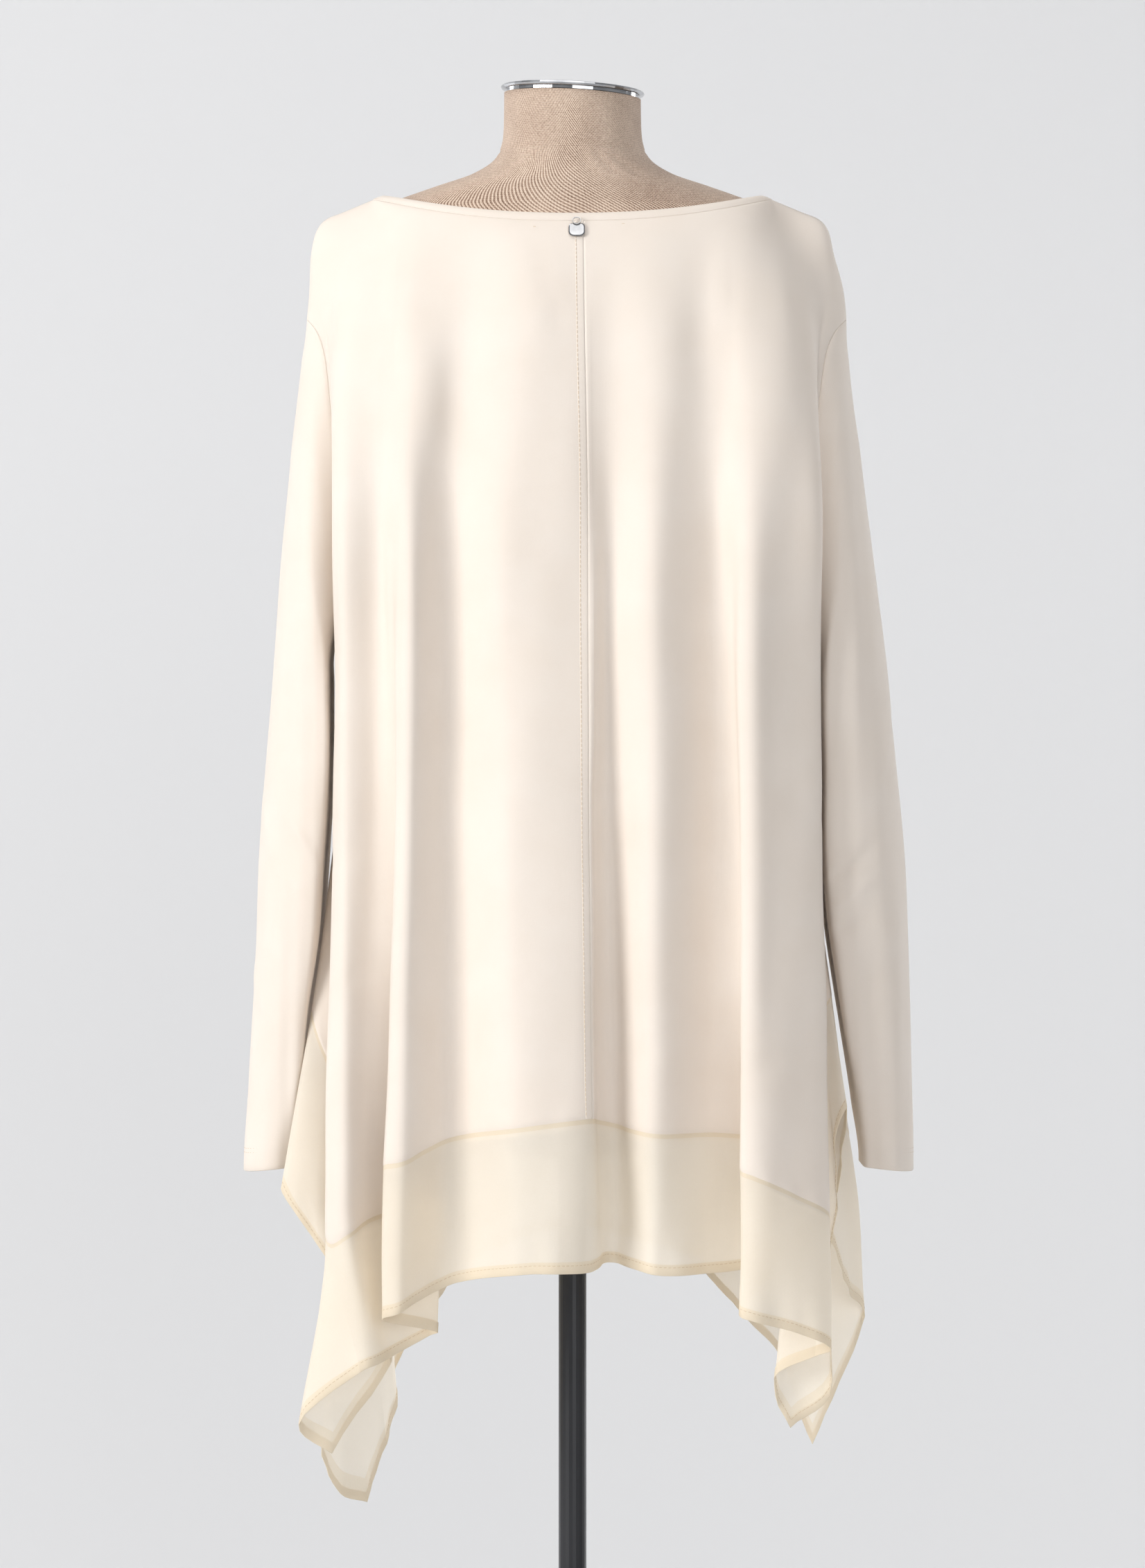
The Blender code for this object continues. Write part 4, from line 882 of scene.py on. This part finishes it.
def crease_sleeve(grid, side):
    """Soft creases at the elbow and forearm, moved along the sleeve's normals."""
    around, rows = grid.shape[:2]
    girth = np.linalg.norm(np.roll(grid, -1, axis=0) - grid, axis=2).sum(axis=0).mean()
    length = abs(SLEEVE_TOP_Z - CUFF_OUT_Z)
    size = np.array([girth, length])
    turn, down = np.meshgrid(np.arange(around) / around, np.arange(rows) / (rows - 1), indexing="ij")
    places = np.stack([turn, down], axis=2) * size
    move = np.zeros((around, rows))
    for own, turn_a, down_a, turn_b, down_b, half, depth in SLEEVE_CREASES:
        if own == side:
            ends = np.array([(turn_a, down_a), (turn_b, down_b)]) * size
            near, along = beside_crease(places, *ends, half * MM)
            move -= depth * near * (SLEEVE_CREASE_ENDS + (1 - SLEEVE_CREASE_ENDS) * arch(along))
    for across, waves_down, height, start in WAVES:
        cycles = max(1, round(girth / MM / across))
        phase = 2 * np.pi * (cycles * turn + down * length / MM / waves_down) + start + side
        move += SLEEVE_WAVES * height * np.sin(phase)
    move *= smoothstep(*SLEEVE_FADE, down)
    return grid + grid_normals(grid, closed=True) * (move * MM)[:, :, None]


def build_sleeve(name, side, hole, finish):
    around = np.arange(2 * YOKE_ROWS)
    low = np.minimum(around, 2 * YOKE_ROWS - around) / YOKE_ROWS
    free = np.minimum(low / SLEEVE_FREE, 1.0)[:, None]
    centre = np.array([hole[:, 0].mean(), 0.0, 0.0])
    out = unit((hole - centre) * np.array([1.0, 1.0, 0.0])) * free
    seam, start = hole + out * SEAM_LIFT, hole + out * SLEEVE_LIFT
    rings = [seam]
    for share in np.arange(1, SLEEVE_ROWS + 1) / SLEEVE_ROWS:
        blend = max(0.0, 1 - share / SLEEVE_BLEND) ** 2
        near = math.exp(-(share / SEAM_NEAR) ** 2)
        rings.append(sleeve_ring(side, share) * (1 - blend) + (start * (1 - near) + seam * near) * blend)
    grid = crease_sleeve(np.stack(rings, axis=1), side)
    if side < 0:
        grid = grid[::-1]
    normals = grid_normals(grid, closed=True)
    hemmed = turn_under(grid, normals, CUFF_HEM, CUFF_DEPTH)
    made = panel(name + "_cloth", hemmed, finish["jersey"], JERSEY_CLOTH, closed=True)
    stand_for(name)
    for k, drop in enumerate(CUFF_STITCHES):
        line, facing = rows_at(grid, -drop), unit(rows_at(grid, -drop, normals))
        line, facing = np.concatenate([line, line[:1]]), np.concatenate([facing, facing[:1]])
        stitches(f"{name}_cuff_stitches_{k + 1}", line, facing, finish["thread"],
                             JERSEY_CLOTH / 2)


# ---------------------------------------------------------------- the dress form's linen
# The form's sections, in millimetres, as the CAD solid has them.
TORSO = (
    # z      half_width  back  front  pinch: the higher, the sharper the sides of the section
    (750.5,  146.0,  -74,  88,  0.93),
    (775.0,  150.0,  -78,  94,  0.93),
    (830.0,  152.0,  -80,  98,  0.93),
    (900.0,  143.0,  -78,  95,  0.93),
    (970.0,  126.0,  -72,  86,  0.93),
    (1030.0, 118.0,  -68,  82,  0.93),
    (1100.0, 130.0,  -78,  98,  0.93),
    (1160.0, 143.0,  -87, 116,  0.93),
    (1220.0, 150.0,  -92, 122,  0.93),
    (1290.0, 160.0,  -90, 104,  0.93),
    (1340.0, 163.0,  -80,  86,  0.95),
    (1372.0, 160.0,  -66,  68,  1.10),
    (1390.0, 156.0,  -55,  56,  1.25),
    (1401.0, 151.0,  -49,  51,  1.45),
    (1408.0, 145.0,  -46,  48,  1.55),
    (1412.4, 134.0,  -46,  48,  1.50),
    (1418.4, 117.5,  -47,  49,  1.35),
    (1425.0,  98.0,  -49,  50,  1.20),
    (1434.0,  71.5,  -50,  50,  1.05),
    (1444.0,  56.6,  -50,  50,  1.00),
    (1455.0,  51.6,  -50,  50,  0.98),
    (1472.0,  50.2,  -49,  49,  0.98),
)
TORSO_ROUNDNESS = 0.86          # of the section's front and back; 1 is an ellipse
LINEN_SIDES = 160
LINEN_PARTS = 9                 # rings between two rows of the table
LINEN_TURN = 0.11               # metres of the linen's weave to one radian round the form
LINEN_INSET = 0.75              # millimetres the linen lies inside the widest of the solid's corners
NECK_SEAM_Z = 1449 * MM
NECK_SEAM_DIP = (0.7, 1.1 * MM)     # depth in millimetres, and half width
NECK_STITCH_DROP = 1.6 * MM     # of the stitches below the seam
NECK_TOP_Z = 1491.5 * MM
NECK_TOP_DROP = 2.4 * MM        # of the linen's edge below the cap's face
NECK_TOP_HALF = (50, 49)        # half the neck's top sideways, and from front to back
NECK_TILT = math.radians(3.0)
LINEN_CREASES = (
    # x_a    z_a   x_b   z_b   half  depth
    (6,    1442,   16,  1427,  2.2,  0.9),
    (18,   1443,   30,  1430,  2.4,  1.0),
    (30,   1441,   46,  1431,  2.4,  0.8),
    (-22,  1442,  -38,  1430,  2.6,  0.6),
    (-6,   1436,  -12,  1425,  2.2,  0.5),
)


def form_rings():
    """The form's sections, row by row, and the neck up to its slanted top."""
    places = [(k, f / LINEN_PARTS) for k in range(len(TORSO) - 1) for f in range(LINEN_PARTS)]
    angles = 2 * np.pi * np.arange(LINEN_SIDES) / LINEN_SIDES
    sine, cosine = np.sin(angles), np.cos(angles)
    rings = []
    for place in places + [(len(TORSO) - 2, 1.0)]:
        z, half, back, front, pinch = smooth_rows(TORSO, [place])[0]
        depth = np.where(sine > 0, front, abs(back))
        x = half * np.sign(cosine) * np.abs(cosine) ** TORSO_ROUNDNESS
        y = depth * np.sign(sine) * np.abs(sine) ** pinch
        rings.append(np.column_stack([x, y, np.full(LINEN_SIDES, z)]) * MM)
    top = np.column_stack([NECK_TOP_HALF[0] * cosine, NECK_TOP_HALF[1] * sine, 0 * sine]) * MM
    top[:, 2] = NECK_TOP_Z - NECK_TOP_DROP - top[:, 0] * math.tan(NECK_TILT)
    neck = rings[-1]
    rings += [neck * (1 - share) + top * share for share in (0.25, 0.5, 0.75, 1.0)]
    return np.stack(rings, axis=1), angles


def build_form(finish):
    """The linen cover, pulled over the form and closed at its foot: fine rings on the solid's form."""
    grid, angles = form_rings()
    normals = grid_normals(grid, closed=True)
    outward = np.sign((normals[:, :, :2] * grid[:, :, :2]).sum(axis=2).mean())
    normals *= outward
    dip, half_dip = NECK_SEAM_DIP
    move = -LINEN_INSET - dip * np.exp(-((grid[:, :, 2] - NECK_SEAM_Z) / half_dip) ** 2)
    for x_a, z_a, x_b, z_b, half, depth in LINEN_CREASES:
        ends = np.array([(x_a, z_a), (x_b, z_b)]) * MM
        near, _ = beside_crease(grid[:, :, [0, 2]], *ends, half * MM)
        move -= depth * near * (grid[:, :, 1] < 0)
    grid = grid + normals * (move * MM)[:, :, None]
    columns, count = grid.shape[:2]
    faces = grid_faces(columns, count, closed=True)
    if outward < 0:
        faces = [tuple(reversed(face)) for face in faces]
    faces.append(tuple(i * count for i in range(columns)))
    faces.append(tuple(i * count + count - 1 for i in reversed(range(columns))))
    uv = np.stack([np.broadcast_to(angles[:, None] * LINEN_TURN, grid.shape[:2]), grid[:, :, 2]], axis=2)
    made = add_mesh("form_linen", grid.reshape(-1, 3), faces, finish["linen"], uv)
    stand_for("form_torso")
    row = int(np.argmin(np.abs(grid[:, :, 2].mean(axis=0) - NECK_SEAM_Z)))
    path = np.concatenate([grid[:, row], grid[:1, row]]) - np.array([0, 0, NECK_STITCH_DROP])
    facing = np.concatenate([normals[:, row], normals[:1, row]])
    stitches("form_neck_stitches", path, facing, finish["linen_thread"], 0.25 * MM,
             length=1.5 * MM, gap=1.6 * MM)


# ---------------------------------------------------------------- finishes
class Finish:
    """A procedural material with one principled shader, and helpers for its other nodes."""

    def __init__(self, name, **values):
        self.made = bpy.data.materials.new(name)
        self.made.use_nodes = True
        self.tree = self.made.node_tree
        self.tree.nodes.clear()
        self.out = self.add("ShaderNodeOutputMaterial")
        self.shader = self.add("ShaderNodeBsdfPrincipled", **values)
        self.place = self.add("ShaderNodeTexCoord").outputs["Object"]

    def add(self, kind, **values):
        """A new node; a value named i_Some_Input is set on the input Some Input."""
        node = self.tree.nodes.new(kind)
        for key, value in values.items():
            if key.startswith("i_"):
                node.inputs[key[2:].replace("_", " ")].default_value = value
            else:
                setattr(node, key, value)
        return node

    def feed(self, value, socket):
        """A number set on a socket, or an output linked to it."""
        if isinstance(value, (int, float)):
            socket.default_value = value
        else:
            self.tree.links.new(value, socket)

    def maths(self, operation, *values):
        node = self.add("ShaderNodeMath", operation=operation)
        for value, socket in zip(values, node.inputs):
            self.feed(value, socket)
        return node.outputs[0]

    def weighted(self, *pairs):
        """The sum of values, each times its weight."""
        total = 0.0
        for value, weight in pairs:
            total = self.maths("MULTIPLY_ADD", value, weight, total)
        return total

    def noise(self, scale, detail=2.0):
        node = self.add("ShaderNodeTexNoise", i_Scale=scale, i_Detail=detail, i_Roughness=0.5)
        self.feed(self.place, node.inputs["Vector"])
        return node.outputs["Fac"]

    def cloth_lengths(self):
        """The cloth's own lengths across and down, in metres."""
        split = self.add("ShaderNodeSeparateXYZ")
        self.feed(self.add("ShaderNodeUVMap", uv_map="cloth").outputs[0], split.inputs[0])
        return split.outputs[0], split.outputs[1]

    def waves(self, value, lines_per_metre, phase=0.0):
        """A sine of a length in metres, from 0 to 1."""
        turned = self.maths("MULTIPLY_ADD", value, 2 * math.pi * lines_per_metre, phase)
        return self.maths("MULTIPLY_ADD", self.maths("SINE", turned), 0.5, 0.5)

    def colour(self, value, *stops):
        """The shader's colour, read from a value between stops."""
        node = self.add("ShaderNodeValToRGB")
        elements = node.color_ramp.elements
        while len(elements) < len(stops):
            elements.new(0.5)
        for element, (place, shade) in zip(elements, stops):
            element.position = place
            element.color = (*shade, 1)
        self.feed(value, node.inputs[0])
        self.feed(node.outputs[0], self.shader.inputs["Base Color"])

    def roughness(self, value, weight, least):
        rough = self.maths("MULTIPLY_ADD", value, weight, least)
        self.feed(rough, self.shader.inputs["Roughness"])

    def bump(self, height, strength, distance):
        node = self.add("ShaderNodeBump", i_Strength=strength, i_Distance=distance)
        self.feed(height, node.inputs["Height"])
        self.feed(node.outputs[0], self.shader.inputs["Normal"])

    def mixed(self, first, second, share):
        node = self.add("ShaderNodeMixShader")
        for value, socket in zip((share, first.outputs[0], second.outputs[0]), node.inputs):
            self.feed(value, socket)
        return node

    def glowing(self, colour, share):
        """The shader mixed with light that comes through the cloth."""
        return self.mixed(self.shader, self.add("ShaderNodeBsdfTranslucent", i_Color=(*colour, 1)), share)

    def done(self, last=None):
        self.feed((last or self.shader).outputs[0], self.out.inputs[0])
        return self.made


def jersey_finish():
    """Fine knit: rows of tiny loops, with a faint unevenness of tone."""
    look = Finish("cream_jersey", i_Roughness=0.82, i_Sheen_Weight=0.15, i_Sheen_Roughness=0.4)
    across, down = look.cloth_lengths()
    loops = look.maths("MULTIPLY", look.waves(across, 1150), look.waves(down, 1400))
    cloudy, slub = look.noise(22.0, 3.0), look.noise(900.0)
    look.colour(look.weighted((cloudy, 0.75), (slub, 0.25)), (0.3, JERSEY_DEEP), (0.7, JERSEY_LIGHT))
    look.bump(look.weighted((loops, 0.6), (slub, 0.6)), 0.35, 0.12 * MM)
    return look.done(look.glowing(JERSEY_GLOW, 0.16))


def chiffon_finish(name, light, deep, open_share, glow_share):
    """Sheer crepe chiffon: a fine open weave that lets a little of what is behind it through."""
    look = Finish(name, i_Roughness=0.88)
    across, down = look.cloth_lengths()
    weave = look.weighted((look.waves(across, 900), 0.5), (look.waves(down, 900, 1.1), 0.5))
    crepe, cloudy = look.noise(700.0), look.noise(30.0)
    look.colour(look.weighted((cloudy, 0.6), (crepe, 0.4)), (0.3, deep), (0.7, light))
    look.bump(look.weighted((weave, 0.4), (crepe, 0.8)), 0.4, 0.15 * MM)
    clear = look.add("ShaderNodeBsdfTransparent")
    return look.done(look.mixed(look.glowing(CHIFFON_GLOW, glow_share), clear, open_share))


def thread_finish(name, colour):
    look = Finish(name, i_Roughness=0.6)
    twist = look.noise(1500.0)
    look.colour(twist, (0.3, colour), (0.7, tuple(min(1.0, 1.12 * c) for c in colour)))
    look.bump(twist, 0.4, 0.1 * MM)
    return look.done()


def linen_finish():
    """Brown and beige threads in a twill weave."""
    look = Finish("form_linen_twill", i_Roughness=0.9, i_Sheen_Weight=0.1)
    across, down = look.cloth_lengths()
    diagonal = look.waves(look.maths("ADD", across, down), 420)
    square = look.maths("MULTIPLY", look.waves(across, 760), look.waves(down, 760))
    specks = look.noise(800.0)
    cloudy = look.maths("SUBTRACT", look.noise(25.0), 0.5)
    tone = look.weighted((diagonal, 0.5), (square, 0.25), (specks, 0.45), (cloudy, 0.3))
    look.colour(tone, (0.15, LINEN_DARK), (0.5, LINEN_MID), (0.9, LINEN_LIGHT))
    look.bump(tone, 0.7, 0.4 * MM)
    return look.done()


def metal_finish(name, colour, roughness):
    """Polished metal with faint smudges and a fine grain of tiny bumps."""
    look = Finish(name, i_Metallic=1.0)
    smudge = look.noise(60.0, 3.0)
    look.roughness(smudge, 0.16, roughness - 0.06)
    look.colour(smudge, (0.3, tuple(0.55 * c for c in colour)), (0.7, colour))
    look.bump(look.noise(1600.0, 1.0), 0.08, 0.05 * MM)
    return look.done()


def painted_finish():
    """Satin black paint on steel, a little dusty."""
    look = Finish("black_painted_steel", i_Coat_Weight=0.05)
    dust = look.noise(18.0, 4.0)
    look.roughness(dust, 0.25, 0.26)
    look.colour(dust, (0.35, BLACK), (0.75, BLACK_WORN))
    look.bump(look.noise(900.0), 0.12, 0.06 * MM)
    return look.done()


def sweep_finish():
    """Plain matt paper, seen only from its front: from behind one looks through it."""
    look = Finish("pale_sweep", i_Base_Color=(*SWEEP_COLOUR, 1), i_Roughness=0.9)
    behind = look.add("ShaderNodeNewGeometry").outputs["Backfacing"]
    return look.done(look.mixed(look.shader, look.add("ShaderNodeBsdfTransparent"), behind))


# ---------------------------------------------------------------- camera, stage and light
CAMERA_PLACE = (0, -4.2, 0.993)
SENSOR = 36                     # millimetres
IMAGE_HEIGHT = 2263
FOCAL_PIXELS = 8400
SWEEP_HALF = 7.0
SWEEP_FRONT_Y = -7.0
SWEEP_BEND_Y = 1.2              # where the paper starts to bend upwards
SWEEP_RADIUS = 1.4
SWEEP_TOP = 5.5
AIM = (0, 0, 1.0)
LIGHTS = (
    # name   place              size  power  colour
    ("key",        (-4.3, -3.1, 2.3), 2.4,  202, (1.0, 0.988, 0.972)),
    ("fill",       (1.4, -4.4, 1.7),  2.8,   58, (0.98, 0.985, 0.995)),
    ("top",        (-0.3, -0.4, 3.9), 2.4,   26, (1.0, 1.0, 1.0)),
    ("back_left",  (-2.2, 2.4, 1.0),  2.0,   34, (1.0, 1.0, 1.0)),
    ("back_right", (2.2, 2.4, 1.0),   2.0,   50, (1.0, 1.0, 1.0)),
)
WORLD = (0.97, 0.98, 1.0)
WORLD_STRENGTH = 0.33


def build_camera():
    data = bpy.data.cameras.new("camera")
    data.sensor_width = SENSOR
    data.lens = SENSOR * FOCAL_PIXELS / IMAGE_HEIGHT
    camera = link(bpy.data.objects.new("camera", data))
    camera.location = CAMERA_PLACE
    camera.rotation_euler = (math.pi / 2, 0, 0)
    bpy.context.scene.camera = camera


def build_stage():
    rows = [(SWEEP_FRONT_Y, 0.0), (SWEEP_BEND_Y, 0.0)]
    for angle in np.linspace(0.1, math.pi / 2, 14):
        rows.append((SWEEP_BEND_Y + SWEEP_RADIUS * math.sin(angle), SWEEP_RADIUS * (1 - math.cos(angle))))
    rows.append((SWEEP_BEND_Y + SWEEP_RADIUS, SWEEP_TOP))
    n = len(rows)
    vertices = [(x, y, z) for x in (-SWEEP_HALF, SWEEP_HALF) for y, z in rows]
    mesh = bpy.data.meshes.new("sweep")
    mesh.from_pydata(vertices, [], [(k, k + n, k + n + 1, k + 1) for k in range(n - 1)])
    mesh.shade_smooth()
    mesh.materials.append(sweep_finish())
    link(bpy.data.objects.new("sweep", mesh))


def build_lights():
    for name, place, size, power, colour in LIGHTS:
        data = bpy.data.lights.new(name, "AREA")
        data.shape = "DISK"
        data.size = size
        data.energy = power
        data.color = colour
        light = link(bpy.data.objects.new(name, data))
        light.location = place
        light.visible_camera = False
        light.rotation_euler = (Vector(AIM) - Vector(place)).to_track_quat("-Z", "Y").to_euler()
    world = bpy.data.worlds.new("studio")
    bpy.context.scene.world = world
    world.use_nodes = True
    background = world.node_tree.nodes["Background"]
    background.inputs[0].default_value = (*WORLD, 1)
    background.inputs[1].default_value = WORLD_STRENGTH


def main():
    bpy.context.scene.view_settings.view_transform = "Standard"
    build_camera()
    build_stage()
    build_lights()
    finish = {
        "jersey": jersey_finish(),
        "chiffon": chiffon_finish("cream_chiffon", CHIFFON_LIGHT, CHIFFON_DEEP, 0.05, 0.3),
        # Hem finish: denser chiffon, its colours darker with painted shade of the light held back behind
        # the layers.
        "hem": chiffon_finish("cream_chiffon_hem_painted_shade", HEM_LIGHT_PAINTED_SHADE, HEM_DEEP_PAINTED_SHADE, 0.02, 0.25),
        # Thread in a tan darker than the cloth: its own tone, and painted shade of the stitch lines' faint
        # shadow.
        "thread": thread_finish("cream_thread_with_painted_shade", THREAD_WITH_PAINTED_SHADE),
        "linen": linen_finish(),
        "linen_thread": thread_finish("brown_thread", LINEN_DARK),
    }
    build_form(finish)
    build_tunic(finish)
    build_tacks(finish)
    carried = {
        "neck_cap": metal_finish("polished_chrome", (0.62, 0.63, 0.65), 0.12),
        "charm_ring": metal_finish("charm_chrome", (0.60, 0.59, 0.58), 0.10),
        "charm_plate": metal_finish("charm_chrome_plate", (0.60, 0.60, 0.61), 0.08),
    }
    carried.update(dict.fromkeys(("pole", "under_boss", "foot", "foot_hub"), painted_finish()))
    for name, look in carried.items():
        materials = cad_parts[name].data.materials
        materials.clear()
        materials.append(look)


main()
